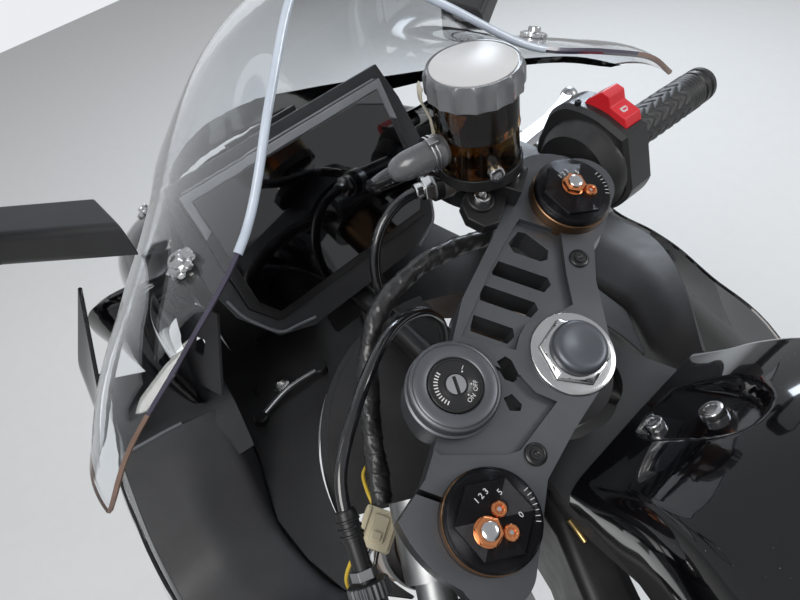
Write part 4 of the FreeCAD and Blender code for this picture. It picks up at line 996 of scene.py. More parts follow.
@dataclass
class ForkTops:
    """Caps of the fork tubes, with their adjusters and plain marks."""

    cap_radius: float = 25.7
    tube_top: float = 7.5
    rim: float = 12.1
    step_flats: float = 37.0
    step_top: float = 14.1
    hex_flats: float = 13.0
    preload: tuple = ((LEFT, 2.0, 7.3), (RIGHT, 1.6, -1.2))
    screws: tuple = ((LEFT, -0.3, -4.6), (LEFT, -8.8, 3.9), (RIGHT, -9.8, -1.0))
    numbers: tuple = ((9.5, -8.0, "1 2 3"), (-12.0, -6.0, "0"), (1.0, -13.0, "5"))
    tick_reach: float = 22.6

    def seat(self, sign: int) -> Matrix:
        """Place of a side's tube axis at the top clamp's top."""
        return shift(PLACE.fork_offset, PLACE.fork_half * sign, 0)

    def caps(self) -> None:
        """Turned caps with a raised hexagon, grooved round the rim, and the plugs under them."""
        top, wide, high = self.rim, self.cap_radius, self.step_top
        flat = self.step_flats / 2
        rim = [(0, -22), (21.6, -22), (21.6, self.tube_top), (wide, self.tube_top + 0.02),
               (wide, top - 1.6), (wide - 0.5, top - 0.7)]
        rim += [(wide - 1.6 - share * 1.1, top) for share in range(8)]
        step = [(flat + 0.2, top - 0.5, 6), (flat, top + 0.1, 6), (flat, high - 0.5, 6)]
        step += [((flat - 0.5) * (1 - share / 8), high, 6) for share in range(8)]
        form = steering_form("fork_caps_turned")
        for sign in SIDES:
            at = self.seat(sign)
            form.lathe([*rim, (0, top)], "anodised", at, 96)
            form.lathe([(0, top - 0.5), *step, (0, high)], "anodised", at @ spin(30), 96)
        form.item("black_anodised", ["fork_caps"])

    def adjusters(self) -> None:
        """Copper hexagons with a bright stud, and the small screws beside them."""
        form = steering_form("fork_adjusters_turned")
        half = self.hex_flats / 2
        low = self.step_top + 0.06
        for sign, ahead, left in self.preload:
            at = self.seat(sign) @ shift(ahead, left, low) @ spin(10)
            form.lathe([(0, 0), (half + 1.0, 0), (half + 1.0, 0.7), (half + 0.6, 0.9), (0, 0.9)], "copper",
                       at)
            form.lathe([(0, 0.8), (half, 0.8, 6), (half, 3.9, 6), (half - 0.7, 4.5, 6), (5.0, 4.5),
                        (4.9, 3.8), (0, 3.8)], "copper", at)
            form.lathe([(0, 3.7), (4.6, 3.7), (4.6, 5.4), (3.9, 6.0), (2.0, 6.2), (0, 6.2)], "steel", at, 40)
        for sign, ahead, left in self.screws:
            at = self.seat(sign) @ shift(ahead, left, low)
            form.lathe([(0, 0), (4.1, 0), (4.1, 2.2), (3.5, 3.0), (2.5, 3.0), (2.1, 2.6), (2.0, 1.2),
                        (0, 1.2)], "copper", at, 40)
            form.lathe([(0, 1.1), (1.0, 1.1, 6), (1.0, 2.2, 6), (0, 2.2)], "steel", at, 24)
        form.item("copper", ["fork_adjusters"])

    def marks(self) -> None:
        """Plain numbers and ticks beside the adjusters."""
        form = steering_form("fork_marks")
        up = self.step_top + 0.03
        for sign in SIDES:
            at = self.seat(sign)
            for ahead, left, text in self.numbers:
                form.letters(text, 4.4, "white", at @ shift(ahead, left, up) @ spin(-118))
            for tick in range(7):
                mark = at @ spin(196 + tick * 7) @ shift(self.tick_reach, 0, self.rim + 0.02)
                form.prism(oblong(-1.3, 1.3, 0.18), 0, 0.08, "white", mark)
        form.item("black_anodised", recalculate=False)

    def build(self) -> None:
        """Make the tops."""
        self.caps()
        self.adjusters()
        self.marks()


@dataclass
class IgnitionLock:
    """Satin ring with a bead round it, and the black face with the barrel."""

    ahead: float = 62.0
    left: float = 47.0
    radius: float = 26.2
    rise: float = 11.8
    depth: float = 52.0
    face_radius: float = 15.5
    barrel_radius: float = 5.6
    key_turn: float = 35.0
    key_slot: tuple[float, float] = (1.0, 4.6)
    marks: tuple = ((158, "ON"), (198, "OFF"), (266, "1"))
    mark_reach: float = 11.0
    dots: tuple = (160, 204, 262)
    dot_reach: float = 8.6

    def seat(self) -> Matrix:
        """Place of the lock's axis."""
        return shift(self.ahead, self.left, 0)

    def ring(self) -> None:
        """The lock's body and its ring."""
        top, wide, face = self.rise, self.radius, self.face_radius
        profile = [
            (0, -self.depth), (20, -self.depth), (20, -26), (wide, -24), (wide, 0.2), (wide + 0.9, 0.5),
            (wide + 0.9, 1.8), (wide - 0.3, 2.4), (wide - 0.4, top - 4.2), (wide, top - 3.4),
            (wide - 0.2, top - 1.6), (wide - 1.0, top - 0.7), (wide - 2.0, top - 0.35),
            (wide - 2.5, top - 0.75), (wide - 3.0, top - 0.3), (wide - 3.6, top), (face + 1.4, top),
            (face + 0.5, top - 0.5), (face + 0.1, top - 1.6), (face + 0.1, top - 3), (0, top - 3),
        ]
        form = steering_form("lock_ring").lathe(profile, "lock", self.seat(), 128)
        form.item("lock_grey", ["ignition_lock"], angle=50)

    def barrel(self) -> list[Vector]:
        """Outline of the barrel, a round with the key's slot cut in from one side.

        Returns:
            Its corners, in order.
        """
        wide = self.barrel_radius
        half, long = self.key_slot
        whole = rounded(2 * wide, 2 * wide, wide - 0.01, 10)
        outline = [point for point in whole if abs(point.x) >= half * 1.6 or point.y <= 0]
        start = next(index for index, point in enumerate(outline) if point.x < 0 and point.y > 0)
        notch = [(half, wide - 0.3), (half, -long), (-half, -long), (-half, wide - 0.3)]
        return outline[start:] + outline[:start] + [Vector(corner) for corner in notch]

    def face(self) -> None:
        """The black face with its barrel, key slot, ticks and plain marks."""
        top = self.rise + 0.2
        wide = self.face_radius - 0.1
        seat, printed = self.seat(), top - 0.36
        turned = seat @ spin(self.key_turn)
        form = steering_form("lock_face")
        form.lathe([(0, top - 3.2), (wide, top - 3.2), (wide, top - 0.5), (wide - 0.6, top),
                    (wide - 1.4, top), (wide - 1.6, top - 0.35), (7.6, top - 0.35), (7.2, top - 0.1),
                    (6.4, top - 0.1), (6.2, top - 0.9), (0, top - 0.9)], "black_face", seat, 96)
        form.prism(self.barrel(), top - 2.4, top + 0.9, "barrel", turned)
        form.prism(oblong(-1.4, 1.4, 5.4), top - 2.6, top - 0.6, "black_face", turned)
        for angle, text in self.marks:
            mark = seat @ spin(angle) @ shift(self.mark_reach, 0, printed)
            form.letters(text, 3.6, "white", mark @ spin(90))
        for tick in range(12):
            form.prism(oblong(10.0, 12.4, 0.35), printed, printed + 0.1, "white", seat @ spin(tick * 9 - 14))
        for angle in self.dots:
            form.lathe(band(0, 0.5, 0, 0.1), "white",
                       seat @ spin(angle) @ shift(self.dot_reach, 0, printed), 12)
        form.item("black_plastic", ["ignition_face"], recalculate=False)

    def build(self) -> None:
        """Make the lock."""
        self.ring()
        self.face()


@dataclass
class StemTop:
    """Bright hexagon nut on the stem and the grey cap in it."""

    flange: float = 26.0
    flats: float = 37.0
    height: float = 7.0
    cap_radius: float = 16.5
    cap_low: float = 7.2
    cap_top: float = 15.1

    def build(self) -> None:
        """Make the nut and the cap."""
        half, high = self.flats / 2, self.height
        nut = steering_form("stem_nut_turned")
        nut.lathe([(11.6, 0.02), (self.flange, 0.02), (self.flange, 1.2), (self.flange - 0.6, 1.8),
                   (22.5, 2.4), (11.6, 2.4)], "steel", turns=96, ring=True)
        nut.lathe([(11.7, 2.2), (half + 0.6, 2.2, 6), (half, 3.0, 6), (half, high - 1.7, 6),
                   (half - 0.1, high - 0.5), (half - 1.6, high), (14.5, high), (13.6, high - 0.8),
                   (11.7, high - 0.8)],
                  "steel", spin(12), 96, ring=True)
        nut.item("steel", ["stem_nut"], edge=0.25)
        wide, top = self.cap_radius, self.cap_top
        cap = steering_form("stem_cap_turned")
        profile = [(0, 0.5), (11.2, 0.5), (11.2, self.cap_low), (wide - 0.5, self.cap_low),
                   (wide, self.cap_low + 0.6)]
        profile += [(wide, top - 3.2), (wide - 0.4, top - 2.0), (wide - 1.4, top - 0.8),
                    (wide - 3.0, top - 0.2)]
        profile += [(wide - 3.0 - 1.35 * step,
                     top - 1.3 * math.sin(step / 10 * math.pi / 2) ** 2) for step in range(1, 10)]
        cap.lathe(profile + [(0, top - 1.3)], "dark_grey", turns=96)
        cap.item("dark_grey", ["stem_cap"], angle=50)


@dataclass
class BrakeReservoir:
    """Smoked bottle with its fluid, fluted cap, bare disc, strap and moulded elbow."""

    ahead: float = 106.0
    right: float = 113.6
    rise: float = 60.0
    radius: float = 26.0
    height: float = 58.0
    cap_radius: float = 30.0
    cap_height: float = 17.0
    flutes: int = 16
    flute_depths: tuple = (0.0, 0.6, 1.3, 1.9, 1.9, 1.6, 0.7)
    fluid_level: float = 4.0
    strap_line: tuple = ((31.2, 10.5), (32.4, 8.0), (32.6, 2.0), (30.4, -4.0), (28.4, -10.0), (27.4, -20.0),
                         (27.2, -30.0))
    strap_way: tuple[float, float] = (0.52, 0.86)
    elbow_length: float = 34.0
    elbow_radius: float = 4.6
    hose: tuple = ((113, -87.4, 32), (124.5, -73.7, 31), (139, -65.3, 20), (149, -65.3, 2.6),
                   (152, -76, -14), (147, -92, -29), (125, -124, -35.4), (114, -135, -51))

    def seat(self) -> Matrix:
        """The bottle's own place: upright, its origin under the cap."""
        foot = PLACE.turned() @ Vector((self.ahead, -self.right, self.rise))
        return Matrix.Translation(foot) @ Matrix.Scale(MM, 4)

    def bottle(self) -> None:
        """Bottle wall, closed below and open under the cap."""
        wide, low = self.radius, -self.height
        profile = [(0, low), (wide - 6, low), (wide - 2.4, low + 1.4), (wide - 0.6, low + 4.5),
                   (wide, low + 9)]
        profile += [(wide, -24), (wide + 0.5, -23.2), (wide + 0.5, -22.2), (wide, -21.4), (wide, -2),
                    (wide - 1, -0.2)]
        profile += [(wide - 2.6, -0.2), (wide - 2.6, low + 9), (wide - 5, low + 4), (0, low + 3.4)]
        bottle = Form("reservoir_bottle", self.seat()).lathe(profile, "smoke", turns=96)
        bottle.item("amber", ["brake_reservoir"], angle=60)
        inner, level = wide - 2.8, -self.fluid_level
        profile = [(0, low + 3.6), (inner - 3, low + 4.4), (inner - 0.6, low + 9), (inner - 0.6, level),
                   (0, level)]
        fluid = Form("reservoir_fluid", self.seat()).lathe(profile, "fluid", turns=64)
        fluid.item("amber", angle=50)

    def cap(self) -> None:
        """Cap with shallow flutes and a bare white disc."""
        top, wide = self.cap_height, self.cap_radius

        def flute(angle: float, ring: int) -> float:
            """Depth of the flutes at a ring."""
            depth = self.flute_depths[ring] if ring < len(self.flute_depths) else 0.0
            return -depth * abs(math.sin(angle * self.flutes / 2)) ** 0.8

        profile = [(0, 0.2), (wide - 2.2, 0.2), (wide - 0.3, 1.0), (wide, 3.0), (wide, top - 5.6),
                   (wide - 0.5, top - 3.6), (wide - 1.6, top - 1.4), (wide - 2.4, top - 0.7),
                   (wide - 3.0, top - 0.7), (wide - 3.2, top - 1.2), (0, top - 1.2)]
        cap = Form("reservoir_cap_fluted", self.seat()).lathe(profile, "cap_grey", turns=192, wave=flute)
        cap.item("cap_grey", ["reservoir_cap"], angle=40)
        disc = Form("reservoir_disc", self.seat())
        disc.lathe([(0, top - 1.25), (wide - 4.4, top - 1.25), (wide - 4.4, top - 0.6),
                    (wide - 4.8, top - 0.35), (0, top - 0.35)],
                   "white", turns=96)
        disc.item("cap_grey")

    def strap(self) -> None:
        """Pale strap from the cap down to the elbow, and the band round the bottle's foot."""
        form = Form("reservoir_strap", self.seat())
        bearing = Matrix.Rotation(math.atan2(*reversed(self.strap_way)), 3, "Z")
        rows = []
        for reach, height in self.strap_line:
            across = 5.0 if height > 0 else 4.2
            row = ((reach, -across, height), (reach + 0.4, 0, height), (reach, across, height))
            rows.append([bearing @ Vector(point) for point in row])
        form.wall(rows, 1.0, "pale_strap", "pale_strap")
        form.item("cap_grey")
        wide, low = self.radius + 0.15, -self.height
        ring = Form("reservoir_band", self.seat())
        ring.lathe(band(wide, wide + 1.6, low + 3, low + 11), "black_metal", ring=True)
        ring.item("black_metal", edge=0.3)

    def elbow(self) -> None:
        """Moulded rubber elbow that narrows into the hose, with its two wire clamps."""
        line = cord_line(self.hose)
        run, cut = 0.0, 0
        while run <= self.elbow_length:
            run += (line[cut + 1] - line[cut]).length
            cut += 1

        def reach(distance: float, _: float) -> float:
            """Radius of the elbow along the hose.

            Args:
                distance: how far along it.
                _: angle round it, which changes nothing.

            Returns:
                The radius.
            """
            collar = 1.6 * math.exp(-((distance - 4) / 3.5) ** 2)
            belly = math.sqrt(max(0.0, 1 - (max(0.0, distance - 20) / 15) ** 2))
            return self.elbow_radius * (1 + belly) + collar

        elbow = steering_form("reservoir_elbow").tube(smooth_line(line[:cut + 2], 4), reach, "elbow", 32)
        elbow.item("hose_rubber", angle=60)
        hose = steering_form("reservoir_hose_smooth").tube(smooth_line(line[cut - 1:], 3), 4.5, "cable", 24)
        hose.item("hose_rubber", ["reservoir_hose"], angle=60)
        clamps = steering_form("hose_clamps")
        for share, wide in ((0.045, 10.6), (0.9, 4.6)):
            index = max(1, int(len(line) * share))
            at = aimed(line[index], (line[index + 1] - line[index - 1]).normalized())
            for along in (-1.4, 1.4):
                clamps.lathe(band(wide, wide + 0.9, along - 0.6, along + 0.6), "steel", at, 40, True)
            clamps.prism(rounded(5, 4, 0.8), -3.2, 3.2, "steel", at @ shift(0, wide + 1.5, 0))
        clamps.item("steel", edge=0.2)

    def build(self) -> None:
        """Make the reservoir."""
        self.bottle()
        self.cap()
        self.strap()
        self.elbow()


@dataclass
class Cords:
    """Cable, loom and hose that ride on the steering."""

    cable: tuple = ((92, 128, -38), (103.3, 114.1, -34.3), (109, 92, -31), (111, 62, -31), (111, 28, -36),
                    (106, -2, -46), (93, -25, -64), (79, -37, -92), (70, -43, -122), (66, -46, -150))
    loom: tuple = ((58.7, -92.7, -44.3), (84, -72, -42), (107, -44, -43), (121, -10, -49), (118, 20, -62),
                   (105, 50, -70), (93, 76, -74), (83, 92, -77), (75.9, 105.9, -79.6))
    brake: tuple = ((117.6, -132.2, -67.6), (129.3, -121.3, -68.2), (140.3, -105.3, -72.8),
                    (144.7, -86.4, -83.1), (141.1, -68.4, -98.5), (130.7, -55.4, -118.5),
                    (116.7, -48.4, -141.7))
    adjuster_root: Point = (54.2, 174.5, -50.4)
    tape_pitch: float = 12.0

    def taped(self, distance: float, angle: float) -> float:
        """Radius of the loom: laps of tape, creases and the wires' lumps.

        Args:
            distance: how far along the loom.
            angle: how far round it.

        Returns:
            The radius.
        """
        lap = (distance / self.tape_pitch + angle / (2 * math.pi)) % 1.0
        lumps = 0.35 * math.sin(2 * angle + distance * 0.11) + 0.22 * math.sin(3 * angle - distance * 0.23)
        creases = 0.22 * math.sin(7 * angle + distance * 0.9) * math.sin(distance * 0.37 + angle)
        return 6.7 + 0.7 * lap ** 2 + lumps + creases

    def build(self) -> None:
        """Make the cords and the cable's adjuster."""
        for name, node, route, resolution, radius, look, turns, angle in (
                ("clutch_cable_smooth", "clutch_cable", self.cable, 6, 4.0, "cable", 24, 35.0),
                ("wiring_loom_taped", "wiring_loom", self.loom, 10, self.taped, "tape", 40, 60.0),
                ("brake_hose_smooth", "brake_hose", self.brake, 6, 4.5, "cable", 24, 35.0)):
            line = smooth_line(cord_line(route, resolution), 3)
            form = steering_form(name).tube(line, radius, look, turns)
            form.item("cable_black", [node], angle=angle)
        self.adjuster()

    def adjuster(self) -> None:
        """Knurled wheel, nuts and boot on the cable's way out of its perch."""
        run = Vector(self.cable[0]) - Vector(self.adjuster_root)
        at, length = aimed(self.adjuster_root, run), run.length
        ends = steering_form("cable_adjuster")

        def knurl(angle: float, ring: int) -> float:
            """Ribs round the adjuster's wheel."""
            return 0.45 * math.cos(24 * angle) if 1 <= ring <= 4 else 0.0

        wheel = [(5.6, 20), (11.2, 20), (11.8, 21), (11.8, 28), (11.2, 29), (5.6, 29)]
        ends.lathe(wheel, "cast", at, 144, True, knurl)
        ends.lathe(band(5.6, 6.8, 31, 36.4, 6), "cast_bright", at, 48, True)
        ends.lathe(band(5.6, 7.4, 12.6, 18.0, 6), "steel", at, 48, True)
        boot = [(4.05, length - 9), (6.2, length - 9), (6.2, length + 6), (5.4, length + 8),
                (4.05, length + 8)]
        ends.lathe(boot, "black_metal", at, 40, True)
        for ring in range(3):
            low = length - 7 + ring * 4
            fold = [(6.1, low), (7.0, low + 0.4), (7.0, low + 1.6), (6.1, low + 2)]
            ends.lathe(fold, "black_metal", at, 40, True)
        ends.item("black_metal", edge=0.2)


# Handlebars: what shows on them

@dataclass
class Grips:
    """Rubber grips with a zigzag relief, their flange and the bar ends."""

    start: float = 126.0
    length: float = 122.0
    radius: float = 16.2
    flange: float = 25.0
    flange_thick: float = 4.0
    pitch: float = 12.0
    relief: float = 0.9
    end_start: float = 250.3
    end_radius: float = 16.0
    smooth_start: float = 14.0
    smooth_end: float = 22.0
    end_wave: float = 4.4

    def ribs(self, distance: float, angle: float) -> float:
        """Radius of the rubber at a place along and round it.

        Args:
            distance: how far along the grip.
            angle: how far round it.

        Returns:
            The radius.
        """
        side = abs(((angle / (2 * math.pi) * 8) % 1.0) - 0.5) * 2
        zigzag = ((distance + side * self.pitch * 0.8) / self.pitch) % 1.0
        rib = min(1.0, max(0.0, (0.5 - abs(zigzag - 0.5)) * 6 - 0.6))
        started = min(1.0, max(0.0, (distance - self.smooth_start) / 3))
        inside = started * min(1.0, max(0.0, (self.length - self.smooth_end - distance) / 3))
        wave = 0.0
        if distance > self.length - 20:
            wave = 0.6 * (1 - inside) * math.cos(distance * 2 * math.pi / self.end_wave)
        return self.radius + self.relief * (rib - 0.5) * inside + 0.5 * wave

    def build(self) -> None:
        """Make the grips and the bar ends."""
        rubber = Form("grips_ribbed", Matrix())
        ends = Form("bar_ends_turned", Matrix())
        steps = 170
        start, end = self.start, self.start + self.flange_thick
        flange, inner = self.flange, self.radius - 0.5
        collar = [(inner, start), (flange - 1, start), (flange, start + 1), (flange, end - 1),
                  (flange - 1, end), (inner, end + 1.5)]
        line = [Vector((0, 0, start + self.length * step / steps)) for step in range(steps + 1)]
        low, wide = self.end_start, self.end_radius
        weight = [(0, low), (wide - 1.5, low), (wide, low + 1.2), (wide, low + 6), (wide - 1.2, low + 7.4),
                  (wide - 1.2, low + 9), (wide, low + 10.4), (wide - 0.2, low + 15),
                  (wide - 2.2, low + 18.6), (wide - 5, low + 20), (6.4, low + 20), (6, low + 19.4),
                  (4, low + 19.4, 6), (4, low + 15, 6), (0, low + 15)]
        for sign in SIDES:
            place = PLACE.bar(sign)
            rubber.lathe(collar, "rubber", place, 96, True)
            rubber.tube(line, self.ribs, "rubber", 96, place)
            ends.lathe(weight, "black_metal", place, 72)
        rubber.item("rubber", ["grips"], angle=50)
        ends.item("black_metal", ["bar_ends"])


@dataclass
class Switchgear:
    """Small parts on the switch boxes: buttons and the rocker's mark."""

    button_at: Point = (6.0, 4.0, 124.0)
    mark_at: Point = (1.0, 52.55, 106.5)
    mark_tilt: float = -85.9
    left_buttons: tuple = ((-24, 47.6, 98, 9, 0), (-39.5, 32, 108, 8, 55))
    left_height: float = 12.0

    def right_box(self) -> None:
        """Side button with six sides, its rim and the white mark on the rocker."""
        place = PLACE.bar(RIGHT)
        form = Form("switch_details_right", place)
        button = shift(*self.button_at)
        form.lathe([(0, -1.5), (15.5, -1.5, 6), (15.5, 1.6, 6), (14.4, 2.2, 6), (12.2, 2.2, 6),
                    (11.8, 1.4, 6), (0, 1.4)], "black_plastic", button)
        form.lathe([(0, 1.2), (9.6, 1.2), (9.6, 3.0), (8.6, 3.6), (0, 3.9)], "black_face", button, 48)
        form.item("black_plastic", edge=0.25)
        mark = Form("rocker_mark", place)
        seat = shift(*self.mark_at) @ spin(self.mark_tilt, "X")
        mark.prism(rounded(4.4, 7.4, 0.8), -0.4, 0.2, "white", seat)
        mark.prism(rounded(1.6, 4.4, 0.6), 0.1, 0.3, "red", seat)
        mark.item("red_plastic")

    def left_box(self) -> None:
        """Plain buttons on the left box."""
        form = Form("switch_details_left", PLACE.bar(LEFT))
        high = self.left_height
        for ahead, up, along, wide, turn in self.left_buttons:
            seat = shift(ahead, up, along) @ spin(turn) @ spin(-90, "X")
            form.prism(rounded(wide, high, 2.0), -1.0, 2.2, "black_face", seat)
            form.prism(rounded(wide * 0.5, high * 0.5, 1.2), 2.1, 2.5, "bezel", seat)
        form.item("black_plastic", edge=0.4)

    def build(self) -> None:
        """Make the details of both boxes."""
        self.right_box()
        self.left_box()


@dataclass
class LoomEnd:
    """Cream connector with a latch and pins, sleeve and single wires beside it."""

    centre: Point = (73.6, 121.6, -82.0)
    size: Point = (22.0, 24.0, 16.0)
    wires: tuple = (
        ("yellow", (6, -11.5, 3), (14, -20, 2), (20, -31, -6), (17, -44, -14)),
        ("cable", (-4, 11.5, 2), (-6, 22, 0), (-12, 34, -8), (-20, 40, -26)),
        ("cable", (1, 11.5, -2), (2, 24, -6), (-3, 37, -16), (-12, 44, -34)),
        ("yellow", (6, 11.5, 2), (9, 21, -2), (8, 33, -14), (-2, 42, -34)),
    )

    def build(self) -> None:
        """Make the connector and its wires."""
        wide, long, high = self.size
        top = high / 2
        form = steering_form("connector_moulded")
        for outline, low, rise, aside, along in (
                (rounded(wide, long, 1.6), -top, top, 0, 0),
                (rounded(10, 16, 1.2), top - 0.1, top + 2.0, 0, 0),
                (rounded(6, 5, 0.8), top + 1.9, top + 3.4, 0, 4.5),
                (rounded(1.8, long - 3, 0.6), top - 0.1, top + 1.4, -8.6, 0),
                (rounded(1.8, long - 3, 0.6), top - 0.1, top + 1.4, 8.6, 0)):
            form.prism(outline, low, rise, "cream", shift(*self.centre) @ shift(aside, along, 0))
        form.item("cream_plastic", ["connector"], edge=0.35)
        start = Vector(self.centre)
        wires = steering_form("connector_wires")
        for colour, *points in self.wires:
            wires.tube(smooth_line([start + Vector(point) for point in points], 8), 1.3, colour, 12)
        wires.item("cable_black")


@dataclass
class Bolts:
    """Screws of the whole front, set out by one Geometry Nodes tree for each body."""

    screws: tuple = (
        (STEERING, "steel", (86, -99, 16.2), (0, 0, 1), 4.4),
        (STEERING, "steel", (66, -99, 16.2), (0, 0, 1), 4.4),
        (STEERING, "steel", (80, -79, 8.8), (0, 0, 1), 5.4),
        (STEERING, "steel", (77.5, -84.6, 29.8), (-0.54, 0.77, 0.35), 5.0),
        (CHASSIS, "steel", (246.0, 106.1, -167.4), (0, 0, 1), 8.5),
        (CHASSIS, "black_metal", (262.0, 128.0, -167.6), (0, 0, 1), 4.0),
        (CHASSIS, "steel", (-60.8, 11.5, 2.0), (0.64, 0, 0.77), 5.2),
        (CHASSIS, "steel", (-80.9, -2.7, 18.5), (0.64, 0, 0.77), 6.4),
    )
    sockets: tuple = (("Points", "Geometry"), ("Head", "Object"), ("Look", "Material"), ("Turn", "Float"),
                      ("Seed", "Int"))
    nodes: tuple = (
        ("start", "NodeGroupInput", {}), ("end", "NodeGroupOutput", {}),
        ("points", "GeometryNodeMeshToPoints", {}), ("head", "GeometryNodeObjectInfo", {}),
        ("stand", "GeometryNodeInstanceOnPoints", {}),
        ("aim", "GeometryNodeInputNamedAttribute", {"data_type": "FLOAT_VECTOR"}),
        ("size", "GeometryNodeInputNamedAttribute", {"data_type": "FLOAT"}),
        ("align", "FunctionNodeAlignRotationToVector", {"axis": "Z"}),
        ("chance", "FunctionNodeRandomValue", {"data_type": "FLOAT"}), ("axes", "ShaderNodeCombineXYZ", {}),
        ("turn", "FunctionNodeRotateRotation", {"rotation_space": "LOCAL"}),
        ("real", "GeometryNodeRealizeInstances", {}), ("look", "GeometryNodeSetMaterial", {}),
    )
    links: tuple = (
        ("start", "Points", "points", "Mesh"), ("start", "Head", "head", "Object"),
        ("aim", "Attribute", "align", "Vector"), ("start", "Turn", "chance", 3),
        ("start", "Seed", "chance", "Seed"), ("chance", 1, "axes", "Z"), ("align", 0, "turn", 0),
        ("axes", 0, "turn", 1), ("points", 0, "stand", "Points"), ("head", "Geometry", "stand", "Instance"),
        ("turn", 0, "stand", "Rotation"), ("size", "Attribute", "stand", "Scale"), ("stand", 0, "real", 0),
        ("real", 0, "look", "Geometry"), ("start", "Look", "look", "Material"), ("look", 0, "end", 0),
    )

    def head(self) -> bpy.types.Object:
        """A socket head of unit radius, looking up, to be repeated; it isn't in any collection.

        Returns:
            The object.
        """
        profile = [(0, -0.5), (1.0, -0.5), (1.0, 0.52), (0.92, 0.66), (0.78, 0.7), (0.5, 0.7),
                   (0.44, 0.64, 6), (0.44, 0.18, 6), (0, 0.18)]
        form = Form("bolt_head", Matrix()).lathe(profile, "steel", turns=36)
        mesh = bpy.data.meshes.new("bolt_head")
        mesh.from_pydata(form.points, [], form.faces)
        for polygon in mesh.polygons:
            polygon.use_smooth = True
        mesh.set_sharp_from_angle(angle=math.radians(35))
        return bpy.data.objects.new("bolt_head", mesh)

    def tree(self) -> bpy.types.GeometryNodeTree:
        """Tree that stands a head on each point, aimed and sized by the point's own data.

        Returns:
            The tree.
        """
        tree = bpy.data.node_groups.new("bolts", "GeometryNodeTree")
        for name, kind in self.sockets:
            tree.interface.new_socket(name, in_out="INPUT", socket_type="NodeSocket" + kind)
        tree.interface.new_socket("Bolts", in_out="OUTPUT", socket_type="NodeSocketGeometry")
        nodes = wired(tree, self.nodes, self.links)
        nodes["aim"].inputs["Name"].default_value = "aim"
        nodes["size"].inputs["Name"].default_value = "size"
        return tree

    def spots(self) -> list[tuple[str, str, Vector, Vector, float]]:
        """Body, finish, place, aim and radius of each screw, in the row frame.

        Returns:
            One entry a screw.
        """
        places = {STEERING: PLACE.turned(), CHASSIS: PLACE.from_stem()}
        listed = []
        for sign in SIDES:
            bar = PLACE.bar(sign)
            listed.append((STEERING, "steel", bar, (0.0, 22.0, 62.0), (0, 1, 0), 3.4))
            listed.append((STEERING, "black_metal", bar, (30.0, 41.0, 93.0), (0.3, 1, 0), 2.6))
        listed += [(body, look, places[body], point, aim, radius) for body, look, point, aim,
                   radius in self.screws]
        for point, aim in screen_screws():
            seat = tuple(a + b * 3.4 for a, b in zip(point, aim))
            listed.append((CHASSIS, "steel", places[CHASSIS], seat, aim, 4.4))
        return [(body, look, place @ Vector(point), (place.to_3x3() @ Vector(aim)).normalized(), radius * MM)
                for body, look, place, point, aim, radius in listed]

    def build(self) -> None:
        """Stand the screws."""
        head, tree = self.head(), self.tree()
        groups: dict[tuple[str, str], list] = {}
        for body, look, spot, way, radius in self.spots():
            groups.setdefault((body, look), []).append((spot, way, radius))
        for (body, look), entries in groups.items():
            mesh = bpy.data.meshes.new(f"screws_{body}_{look}")
            mesh.from_pydata([entry[0] for entry in entries], [], [])
            mesh.attributes.new("aim", "FLOAT_VECTOR", "POINT")
            mesh.attributes.new("size", "FLOAT", "POINT")
            for index, (_, way, radius) in enumerate(entries):
                mesh.attributes["aim"].data[index].vector = way
                mesh.attributes["size"].data[index].value = radius
            item = placed(mesh.name, mesh)
            nodes = item.modifiers.new("bolts", "NODES")
            nodes.node_group = tree
            inputs = {"Head": head, "Look": finish(look), "Turn": 1.0, "Seed": 7}
            for socket in tree.interface.items_tree:
                if socket.name in inputs:
                    nodes[socket.identifier] = inputs[socket.name]
            baked(item)
            settle(item, body, "steel" if look == "steel" else "black_metal")


# Chassis: what shows on it

def screen_rows(ribs: Sequence[Sequence[Point]], down: int, across: int) -> list[list[Vector]]:
    """Outer face through ribs of one side and their mirror images, rear edge to lower edge.

    Args:
        ribs: rear, middle and lower point of each rib, the mid-plane's first, in millimetres from the stem.
        down: parts of each rib.
        across: parts between two ribs.

    Returns:
        Rows of points from the left tip to the right one.
    """
    left = [[Vector(point) for point in rib] for rib in ribs]
    both = left[::-1] + [mirrored(rib) for rib in left[1:]]
    rows = []
    for rear, belly, low in zip(*[smooth_line([rib[row] for rib in both], across) for row in range(3)]):
        through = belly * 2 - (rear + low) * 0.5
        shares = [step / down for step in range(down + 1)]
        rows.append([rear * (1 - t) ** 2 + through * (2 * t * (1 - t)) + low * t ** 2 for t in shares])
    return rows


def creased(points: Sequence[Vector], bite: float, steps: int = 4) -> list[Vector]:
    """A line with its corners rounded, each reaching that far along its neighbours.

    Args:
        points: the line.
        bite: how far a rounding reaches along its neighbours.
        steps: parts of a rounding.

    Returns:
        The rounded line.
    """
    line = [points[0]]
    for before, corner, after in zip(points, points[1:], points[2:]):
        start = corner + (before - corner).normalized() * min(bite, (before - corner).length * 0.45)
        end = corner + (after - corner).normalized() * min(bite, (after - corner).length * 0.45)
        for step in range(steps + 1):
            t = step / steps
            line.append(start * (1 - t) ** 2 + corner * (2 * t * (1 - t)) + end * t ** 2)
    return line + [points[-1]]


def screen_screws() -> list[tuple[Point, Point]]:
    """Places and aims of the screws of the screen and the cowl, from the stem."""
    near = (((147.5, 143.1, 94.9), (0.09, 0.39, 0.91)), ((375.9, 109.3, -10.8), (0.45, 0.19, 0.87)))
    return [tuple((ahead, left * sign, up) for ahead, left, up in spot) for sign in SIDES for spot in near]


